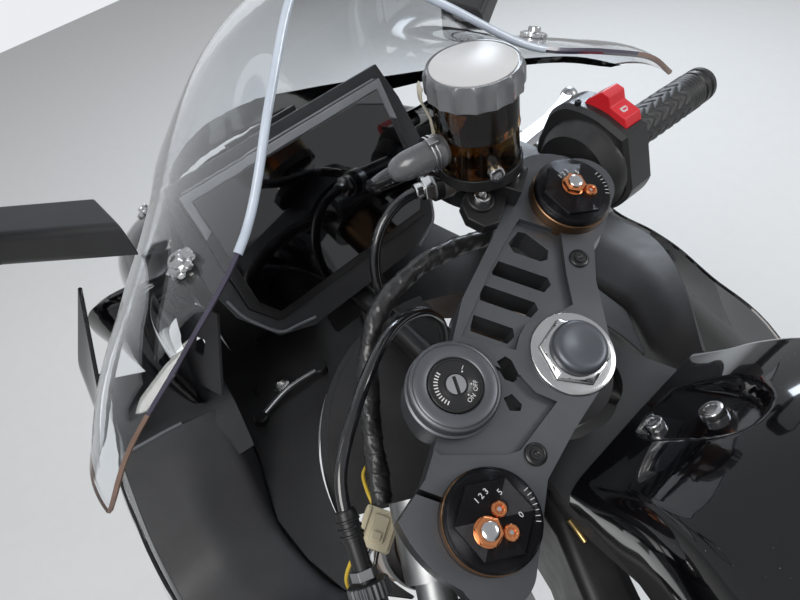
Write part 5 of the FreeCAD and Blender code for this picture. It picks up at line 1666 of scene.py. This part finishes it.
@dataclass
class Windscreen:
    """Thick clear screen; its cut edge is painted in three tones: a pale painted highlight, a dark painted
    shade, and brown at its tips.
    """

    thick: float = 4.0
    bead: float = 2.5
    bead_half: float = 122.0
    parts_down: int = 22
    parts_across: int = 6
    painted_shade_from: float = 114.0
    brown_from: float = 200.0
    ribs: tuple = (
        ((182, 0, 190), (330, 0, 110), (440, 0, -20)), ((173, 25, 180), (322, 34, 106), (436, 36, -20)),
        ((151, 64, 150), (292, 78, 88), (404, 84, -12)), ((124, 113, 109), (230, 124, 82), (320, 116, 14)),
        ((106, 167, 86), (176, 170, 74), (248, 160, 34)), ((97, 216, 62), (138, 214, 62), (176, 202, 44)),
        ((92, 243, 38), (114, 240, 43), (138, 230, 38)),
    )

    def border(self, rows: Sequence[Sequence[Vector]]) -> None:
        """Black border on the inside of the lower edge.

        Args:
            rows: points of the screen's outer face.
        """
        inner = offset_rows(rows, self.thick + 0.3, True)
        form = chassis_form("windscreen_border")
        form.wall([row[-4:] for row in inner], 0.6, "gloss", "gloss", flip=True)
        form.item("gloss_black", angle=50)

    def washers(self) -> None:
        """Castellated washers under the screen's and cowl's screws."""
        form = chassis_form("screen_washers")

        def notched(angle: float, ring: int) -> float:
            """Notches round the washer."""
            return -2.2 if ring in (1, 2) and (angle * 8 / (2 * math.pi)) % 1.0 < 0.4 else 0.0

        for point, aim in screen_screws():
            form.lathe([(0, -0.3), (9.6, -0.3), (9.6, 2.2), (7.0, 3.2), (0, 3.2)], "steel",
                       aimed(point, aim), 96,
                       False, notched)
        form.item("steel", edge=0.2)

    def build(self) -> None:
        """Make the screen with its rim in three tones: painted highlight, painted shade, and brown at the
        tips.
        """
        rows = screen_rows(self.ribs, self.parts_down, self.parts_across)
        form = chassis_form("windscreen_clear")
        form.wall(rows, self.thick, "clear", "edge", flip=True)
        form.finishes += ["edge_dark", "edge_brown"]
        rim = form.finishes.index("edge")
        # Rim faces keep the pale painted highlight; far out to the sides or low at the front they take
        # painted shade, and at the tips brown.
        for index, corners in enumerate(form.faces):
            if form.slots[index] == rim:
                middle = sum((form.points[corner] for corner in corners), Vector()) / len(corners)
                aside = abs(middle.y)
                if aside > self.brown_from:
                    form.slots[index] += 2
                elif aside > self.painted_shade_from or middle.x > 200 - aside * 0.28:
                    form.slots[index] += 1
        form.item("clear_screen", ["windscreen"], angle=50)
        # A pale tube along the middle of the rear edge: a painted highlight that widens the screen's bright
        # edge.
        inner = offset_rows(rows, self.thick, True)
        line = [(row[0] + under[0]) / 2 for row, under in zip(rows, inner) if abs(row[0].y) < self.bead_half]
        bead = chassis_form("windscreen_bead").tube(smooth_line(line, 3), self.bead, "edge", 16)
        bead.item("clear_screen")
        self.border(rows)
        self.washers()


@dataclass
class FuelTank:
    """Deep gloss tank, its faces drawn through the same sections as the CAD body's."""

    stations: tuple = (
        (-46, 60, -60, 61, -26, 50, -15, -13), (-60, 62, -60, 64, -20, 54, 0, 4),
        (-76, 65, -62, 66.5, -8, 56, 20, 25), (-94, 69, -66, 71, 0, 59, 35, 42),
        (-125, 80, -80, 84, 6, 64, 50, 60), (-180, 104, -110, 112, 6, 74, 64, 77),
        (-260, 128, -150, 146, -10, 84, 64, 84), (-350, 120, -170, 138, -26, 82, 44, 66),
        (-430, 96, -180, 106, -50, 70, 2, 22), (-480, 62, -180, 66, -76, 46, -44, -30),
    )
    underside: tuple = (
        (20, -41.7), (-20, -41.7), (-104, -41.7), (-130, -60), (-220, -110), (-330, -150), (-520, -165),
    )
    scoop_at: Point = (-52.0, 0.0, 6.0)
    scoop_tilt: float = 40.0
    scoop_depth: float = 9.0
    scoop_middle: float = -20.0
    scoop_half: tuple[float, float] = (37.0, 20.5)
    scoop_power: float = 2.6

    def seat(self, ahead: float) -> float:
        """Height of the underside at a place along the tank.

        Args:
            ahead: the place, from the stem.

        Returns:
            The height.
        """
        for (front, top), (rear, low) in zip(self.underside, self.underside[1:]):
            if ahead >= rear:
                return top + (low - top) * (front - ahead) / (front - rear)
        return self.underside[-1][1]

    def section(self, values: Sequence[float]) -> list[Vector]:
        """Half section from the underside's middle over the side to the crown.

        Args:
            values: place, then half widths and heights as in stations.

        Returns:
            Points of the half section.
        """
        ahead, foot_half, foot, side_half, side, crown_half, crown_edge, crown = values
        floor = self.seat(ahead)
        foot = max(foot, floor)
        side = max(side, foot + 6)
        line = [Vector((ahead, foot_half * share, foot)) for share in (0.0, 0.2, 0.4, 0.6, 0.8, 0.95)]
        line += [Vector((ahead, foot_half + (side_half - foot_half) * share, foot + (side - foot) * share))
                 for share in (0.04, 0.2, 0.45, 0.7, 0.88, 1.0)]
        for step in range(1, 15):
            angle = step / 14 * math.pi / 2
            line.append(Vector((ahead, side_half - (side_half - crown_half) * (1 - math.cos(angle)),
                                side + (crown_edge - side) * math.sin(angle))))
        rise = crown - crown_edge
        for step in range(1, 29):
            share = 1 - step / 28
            line.append(Vector((ahead, crown_half * share, crown_edge + rise * (1 - share ** 2))))
        return line

    def sunk(self, point: Vector) -> Vector:
        """Press the scoop for the key side into the front of the tank.

        Args:
            point: a point of the tank's surface.

        Returns:
            Where it lies after that.
        """
        seat = shift(*self.scoop_at) @ spin(self.scoop_tilt, "Y")
        local = seat.inverted() @ point
        if not (-80 < local.x < 40 and abs(local.y) < 40 and -20 < local.z < 30):
            return point
        power = self.scoop_power
        long, wide = abs(local.x - self.scoop_middle) / self.scoop_half[0], abs(local.y) / self.scoop_half[1]
        reach = (long ** power + wide ** power) ** (1 / power)
        share = min(1.0, max(0.0, (1.13 - reach) / 0.2))
        share = share * share * (3 - 2 * share)
        floor = -self.scoop_depth
        if local.z > floor:
            local.z += (floor - local.z) * share
        return seat @ local

    def build(self) -> None:
        """Make the tank."""
        padded = [(*values, 0.0) for values in self.stations]
        columns = [smooth_line([values[start:start + 3] for values in padded], 18) for start in (0, 3, 6)]
        rows = []
        for first, second, third in zip(*columns):
            half = self.section((*first, *second, third.x, third.y))
            rows.append([self.sunk(point) for point in half + mirrored(half[1:-1])[::-1]])
        form = chassis_form("fuel_tank_smooth")
        form.grid([row + [row[0].copy()] for row in rows], "gloss")
        for row, flip in ((rows[0], False), (rows[-1], True)):
            half = len(row) // 2
            pairs = zip(row[:half + 1], [row[0]] + row[half:][::-1])
            form.grid([[a + (b - a) * share for share in (0, 0.25, 0.5, 0.75, 1)] for a, b in pairs],
                      "gloss", flip)
        form.item("gloss_black", ["fuel_tank"], angle=60)


@dataclass
class Instruments:
    """Pale band and hood over the instrument's glass, and the lips of its surround."""

    ahead: float = 251.0
    low: float = -11.0
    tilt: float = 65.5
    width: float = 185.0
    height: float = 112.0
    band: float = 7.4
    lips: tuple = (
        ((110, -24), (103.9, -36), (99.6, -57.2), (93.5, -74), (82, -82), (68, -88)),
        ((-112, -24), (-108, -42), (-99, -59), (-88, -74), (-73, -78), (-56, -82)),
    )

    def seat(self) -> Matrix:
        """The glass's own place: x to the right, y up it, z out of it.

        Returns:
            Matrix from its millimetres to the row frame.
        """
        tilt = math.radians(self.tilt)
        axes = Matrix(((0, -1, 0), (math.cos(tilt), 0, math.sin(tilt)), (-math.sin(tilt), 0, math.cos(tilt))))
        return PLACE.from_stem() @ shift(self.ahead, 0, self.low) @ axes.transposed().to_4x4()

    def build(self) -> None:
        """Make the pale band over the glass and the raised lips of the surround."""
        form = Form("dash_bezel", self.seat(), CHASSIS)
        half, top = self.width / 2, self.height / 2
        wide, high = half + self.band, top + self.band
        outline = [(wide, 26), (wide, high), (-wide, high), (-wide, 26), (-half - 0.6, 30),
                   (-half - 0.6, top + 0.6), (half + 0.6, top + 0.6), (half + 0.6, 30)]
        form.prism(outline, -3.3, -1.6, "bezel")
        hood = shift(0, top + 8.1, -17.5) @ spin(-90, "X")
        form.prism(rounded(2 * half + 8, 29, 3), 0, 1.2, "bezel", hood)
        form.item("textured_plastic", edge=0.7)
        lips = Form("dash_lips", self.seat(), CHASSIS)
        for route in self.lips:
            lips.tube(smooth_line([(*point, -6.9) for point in route], 8), 1.3, "lip", 12)
        lips.item("textured_plastic")


@dataclass
class Shells:
    """Panels and cowls, their faces drawn smoothly through the CAD stations."""

    inner: tuple = (
        (228, (244, -88), (204, -97), (164, -112), (158, -150)),
        (180, (261, -123), (220, -124), (177, -140), (170, -186)),
        (141, (270, -154), (230, -150), (186, -163), (178, -210)),
        (98, (268, -155), (230, -153), (186, -165), (178, -214)),
        (60, (243, -145), (212, -147), (180, -162), (172, -212)),
        (18, (198, -131), (178, -138), (152, -160), (148, -206)),
        (-24, (150, -130), (144, -140), (137, -158), (134, -190)),
    )
    recess: tuple = (
        ((194, 162, -138), (194, 206, -130), (196, 240, -122)),
        ((228, 152, -117), (228, 204, -106), (230, 242, -96)),
        ((262, 146, -116), (264, 200, -112), (266, 240, -98)),
        ((300, 138, -104), (300, 188, -96), (300, 226, -66)),
    )
    outer: tuple = (
        (300, (190, 10), (232, -60), (220, -230)), (228, (247.2, -87.1), (266, -150), (240, -320)),
        (180, (264.2, -122.2), (282, -190), (246, -360)), (141, (273.2, -153.2), (290, -215), (250, -385)),
        (98, (271.2, -154.2), (288, -220), (248, -395)), (60, (256, -146), (280, -222), (244, -400)),
        (18, (244, -150), (270, -226), (240, -405)), (-42, (233, -160), (252, -238), (220, -400)),
        (-120, (204, -196), (222, -262), (200, -360)),
    )
    thick: float = 3.0
    rod: tuple = ((231, 140, -164), (236, 104, -161), (233, 68, -163))
    tray_edge: tuple = ((60, 178), (98, 184.4), (141, 184.2), (180, 171.4), (204, 162.6), (228, 157.6))

    def rows(self, stations: Sequence[tuple], sign: int, bite: float, steps: int = 4) -> list[list[Vector]]:
        """Rows of points through a side's stations.

        Args:
            stations: place ahead of the stem, then half width and height of each corner.
            sign: LEFT or RIGHT.
            bite: how far the rounding of a corner reaches.
            steps: parts of that rounding.

        Returns:
            The rows, front to rear.
        """
        corners = [[(ahead, half * sign, height) for half, height in line] for ahead, *line in stations]
        columns = [smooth_line(column, 6) for column in zip(*corners)]
        return [creased(points, bite, steps) for points in zip(*columns)]

    def panels(self) -> None:
        """Inner panels with soft creases, and a pale tube along their front edge as a painted highlight."""
        form = chassis_form("inner_panels_smooth")
        lip = chassis_form("panel_lips")
        for sign in SIDES:
            rows = self.rows(self.inner, sign, 9)
            form.wall(rows, self.thick, "panel", "panel", flip=sign > 0)
            # Pale tube along each panel's front edge: a painted highlight.
            front = [point + Vector((0.8, 0, 0.8)) for point in rows[0][:-6]]
            lip.tube(smooth_line(front, 2), 1.5, "lip", 12)
        form.item("textured_plastic", ["inner_panels"], angle=50)
        lip.item("textured_plastic")

    def cowls(self) -> None:
        """Side cowls with one soft crease each."""
        form = chassis_form("side_cowls_smooth")
        for sign in SIDES:
            form.wall(self.rows(self.outer, sign, 22, 6), self.thick, "gloss", "gloss", flip=sign > 0)
        form.item("gloss_black", ["side_cowls"], angle=50)

    def linings(self) -> None:
        """Dark linings of the recesses between the panels and the screen."""
        form = chassis_form("recess_linings")
        for sign in SIDES:
            lines = [smooth_line([(x, y * sign, z) for x, y, z in row], 6) for row in self.recess]
            rows = list(zip(*[smooth_line(column, 6) for column in zip(*lines)]))
            form.wall(rows, 2.0, "moulded", "moulded", flip=sign < 0)
        form.item("textured_plastic", angle=50)

    def tray(self) -> None:
        """Rubber lips from the nose tray out to the panels, and a bright rod across it."""
        form = chassis_form("tray_lips")
        for sign in SIDES:
            line = smooth_line([(ahead, half * sign, -174) for ahead, half in self.tray_edge], 6)
            lip = [Vector((0, out * sign, up)) for out, up in ((-5, 0), (3, 1), (10, 8))]
            rows = [[point + way for way in lip] for point in line]
            form.wall(rows, 1.6, "black_plastic", "black_plastic", flip=sign > 0)
        form.item("black_plastic", angle=50)
        rod = chassis_form("tray_rod")
        line = smooth_line(self.rod, 10)
        rod.tube(line, 3.0, "steel", 16)
        for point in (line[0], line[-1]):
            end = [(0, -4.2), (6.5, -4.2), (6.5, 2.4), (5.6, 3.4), (0, 3.4)]
            rod.lathe(end, "black_metal", shift(*point), 32)
        rod.item("steel")

    def build(self) -> None:
        """Make the shells."""
        self.panels()
        self.cowls()
        self.linings()
        self.tray()


@dataclass
class SteeringTrim:
    """Clamp plugs, brake master's fitting, yoke's lip, bracket's arm and the strip on the frame."""

    plug_ahead: float = 8.5
    plug_half: float = 65.3
    master_end: Point = (117.4, -132.4, -67.6)
    master_way: Point = (0.73, 0.68, -0.04)
    lip_radii: tuple[float, float] = (149.4, 136.0)
    lip_sweep: int = 49
    lip_heights: tuple[float, float] = (-219.0, -215.6)
    arm: tuple = ((64, -94), (90, -94), (91, -72), (84, -63), (72, -61), (64, -68))
    arm_bolt: Point = (80.0, -79.0, 0.0)
    strip: tuple = ((-47.0, 60.9, -57.5), (-53.0, 61.3, -61.5), (-60.0, 62.5, -64.5))

    def plugs(self) -> None:
        """Stepped plugs in the top clamp."""
        plugs = steering_form("clamp_plugs_turned")
        profile = [(0, -8), (5.6, -8), (5.6, 0.05), (6.4, 0.1), (6.4, 0.9), (5.9, 1.4), (4.6, 1.7),
                   (4.4, 1.3), (3.6, 1.3), (3.4, 2.2), (1.6, 2.3), (1.2, 1.8), (0, 1.7)]
        for sign in SIDES:
            plugs.lathe(profile, "black_face", shift(self.plug_ahead, self.plug_half * sign, 0), 60)
        plugs.item("black_plastic", ["clamp_plugs"], angle=50)

    def fitting(self) -> None:
        """Hexagon fitting and collar on the brake master's end."""
        at = aimed(self.master_end, self.master_way)
        fitting = steering_form("master_fitting")
        fitting.lathe([(10.9, -17), (12.6, -16), (12.6, -7), (11.9, -5.6), (11.9, -0.6), (11.2, 0.2),
                       (4.6, 0.2), (4.6, -1), (10.8, -1)], "lever", at, 60, True)
        fitting.lathe([(4.6, 0), (9.0, 0, 6), (9.0, 7.6, 6), (8.2, 8.4, 6), (6.4, 8.6), (6.4, 14),
                       (5.6, 15), (4.6, 15)], "steel", at, 60, True)
        fitting.item("lever_metal", edge=0.25)

    def lip(self) -> None:
        """Rubber lip round the front of the yoke cover."""
        turns = [math.radians(turn) for turn in range(-self.lip_sweep, self.lip_sweep + 1, 2)]
        outer, inner = self.lip_radii
        rim = [(outer * math.cos(turn), outer * math.sin(turn)) for turn in turns]
        rim += [(inner * math.cos(turn), inner * math.sin(turn)) for turn in reversed(turns)]
        lip = steering_form("yoke_lip").prism(rim, *self.lip_heights, "black_plastic")
        lip.item("black_plastic", edge=0.8)

    def bracket(self) -> None:
        """Arm that carries the reservoir's bracket, with its boss."""
        arm = steering_form("bracket_arm").prism(self.arm, -3, 6, "black_metal")
        arm.lathe([(0, 5.5), (9.5, 5.5), (9.0, 8.6), (0, 8.6)], "black_metal", shift(*self.arm_bolt), 48)
        arm.item("black_metal", edge=0.8)

    def build(self) -> None:
        """Make them."""
        self.plugs()
        self.fitting()
        self.lip()
        self.bracket()
        strip = chassis_form("frame_strip").tube(smooth_line(self.strip, 8), 1.7, "gold", 12)
        strip.item("frame_black")


# Studio: floor, light and camera

@dataclass
class Studio:
    """A plain pale floor, soft light and the camera over the rider's left hand."""

    floor_below: float = 390.0
    floor_size: float = 9000.0
    pale: Colour = (0.80, 0.80, 0.79)
    cloud: float = 0.985
    sky_colour: Colour = (0.9, 0.92, 0.95)
    sky_light: float = 0.38
    sky_seen: float = 0.55
    sky_glossy: float = 0.3
    middle: Point = (0.55, 0.0, 0.45)
    eye: Point = (426.0, 185.2, 839.1)
    look: Point = (0.569, -0.363, -0.738)
    image_right: Point = (-0.667, -0.729, -0.155)
    focal: float = 27.06

    def floor(self) -> None:
        """A wide pale plane at the height the wheels would stand on."""
        half, low = self.floor_size / 2 * MM, -self.floor_below * MM
        mesh = bpy.data.meshes.new("floor")
        mesh.from_pydata([(*corner, low) for corner in oblong(-half, half, half)], [], [(0, 1, 2, 3)])
        shade = tuple(part * self.cloud for part in self.pale)
        mesh.materials.append(Finish(self.pale, shade, 0.75, 0.05).material("floor_pale"))
        placed("floor", mesh)

    def sky(self) -> None:
        """Even pale world, brighter where it is seen straight or in a reflection."""
        world = bpy.data.worlds.new("studio")
        bpy.context.scene.world = world
        world.use_nodes = True
        world.node_tree.nodes.clear()
        made = wired(world.node_tree, (
            ("path", "ShaderNodeLightPath", {}),
            ("glossy", "ShaderNodeMath", {"operation": "MULTIPLY_ADD"}),
            ("seen", "ShaderNodeMath", {"operation": "MAXIMUM"}),
            ("light", "ShaderNodeMath", {"operation": "MULTIPLY_ADD"}),
            ("back", "ShaderNodeBackground", {}), ("end", "ShaderNodeOutputWorld", {}),
        ), (
            ("path", "Is Glossy Ray", "glossy", 0), ("path", "Is Transmission Ray", "glossy", 2),
            ("path", "Is Camera Ray", "seen", 0), ("glossy", 0, "seen", 1), ("seen", 0, "light", 0),
            ("light", 0, "back", 1), ("back", 0, "end", 0),
        ))
        made["glossy"].inputs[1].default_value = self.sky_glossy
        made["back"].inputs[0].default_value = (*self.sky_colour, 1.0)
        made["light"].inputs[1].default_value = self.sky_seen
        made["light"].inputs[2].default_value = self.sky_light

    def lamp(self, name: str, place: Point, size: float, power: float, colour: Colour = (1, 1, 1)) -> None:
        """A square soft lamp aimed at the object's middle.

        Args:
            name: its name.
            place: where it hangs, in metres.
            size: its side, in metres.
            power: watts.
            colour: its light.
        """
        data = bpy.data.lights.new(name, "AREA")
        data.shape = "SQUARE"
        data.size = size
        data.energy = power
        data.color = colour
        item = placed(name, data)
        item.location = place
        item.rotation_mode = "QUATERNION"
        item.rotation_quaternion = (Vector(self.middle) - Vector(place)).to_track_quat("-Z", "Y")

    def camera(self) -> None:
        """The camera at the photographed angle."""
        ahead = Vector(self.look).normalized()
        right = Vector(self.image_right)
        right = (right - ahead * right.dot(ahead)).normalized()
        up = right.cross(ahead)
        data = bpy.data.cameras.new("camera")
        data.sensor_width = 36.0
        data.lens = self.focal
        data.clip_start = 0.01
        data.clip_end = 100.0
        item = placed("camera", data)
        axes = Matrix((right, up, -ahead)).transposed().to_4x4()
        item.matrix_world = Matrix.Translation(Vector(self.eye) * MM) @ axes
        bpy.context.scene.camera = item

    def build(self) -> None:
        """Make the stage."""
        self.floor()
        self.sky()
        self.camera()
        self.lamp("key", (0.1, 1.6, 2.4), 1.4, 42.0, (1.0, 0.98, 0.95))
        self.lamp("back", (2.0, -2.1, 1.5), 0.9, 34.0, (0.82, 0.9, 1.0))
        self.lamp("strip", (-0.9, -1.6, 1.7), 0.8, 16.0)
        bpy.context.scene.view_settings.view_transform = "Standard"


# Nodes that keep their own form: node, finish and width of its rounded edges
PLAIN_DRESS = (
    ("top_clamp", "clamp", 1.5), ("steering_stem", "steel", 0.4), ("lower_clamp", "cast", 1.5),
    ("fork_tubes", "bronze", 0.4), ("fork_legs", "hard_chrome", 1.0), ("clip_ons", "cast_bright", 1.0),
    ("switch_housing_left", "black_plastic", 1.5), ("switch_housing_right", "black_plastic", 1.5),
    ("kill_switch", "red", 0.8), ("brake_master", "black_metal", 1.2), ("clutch_perch", "black_metal", 1.2),
    ("brake_lever", "lever", 1.5), ("clutch_lever", "lever", 1.5),
    ("reservoir_bracket", "black_metal", 0.8), ("frame", "frame", 2.0), ("frame_cover", "moulded", 1.5),
    ("dash_glass", "screen_glass", 0.4), ("dash_housing", "black_plastic", 0.8),
    ("dash_surround", "moulded", 0.8), ("upper_cowl", "gloss", 0.5), ("mirror_arms", "mirror_shell", 1.0),
    ("mirror_heads", "mirror_shell", 3.0), ("mirror_glasses", "mirror", 0.3),
    ("fairing_stay", "black_metal", 0.5), ("cowl_stays", "black_metal", 0.3),
    ("nose_tray", "black_plastic", 0.6), ("yoke_cover", "black_plastic", 0.6),
    ("headlamps", "black_plastic", 1.5), ("recess_panels", "moulded", 0.6),
)


def main() -> None:
    """Build every piece."""
    logging.basicConfig(level=logging.INFO, format="%(name)s: %(message)s")
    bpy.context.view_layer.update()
    Studio().build()
    for node, finish_name, edge in PLAIN_DRESS:
        softened(node, finish_name, edge)
    for assembly in (ForkTops(), IgnitionLock(), StemTop(), BrakeReservoir(), Cords(), Grips(),
                     Switchgear(), LoomEnd(), Bolts(), Windscreen(), FuelTank(), Instruments(), Shells(),
                     SteeringTrim()):
        assembly.build()


if __name__ == "__main__":
    main()
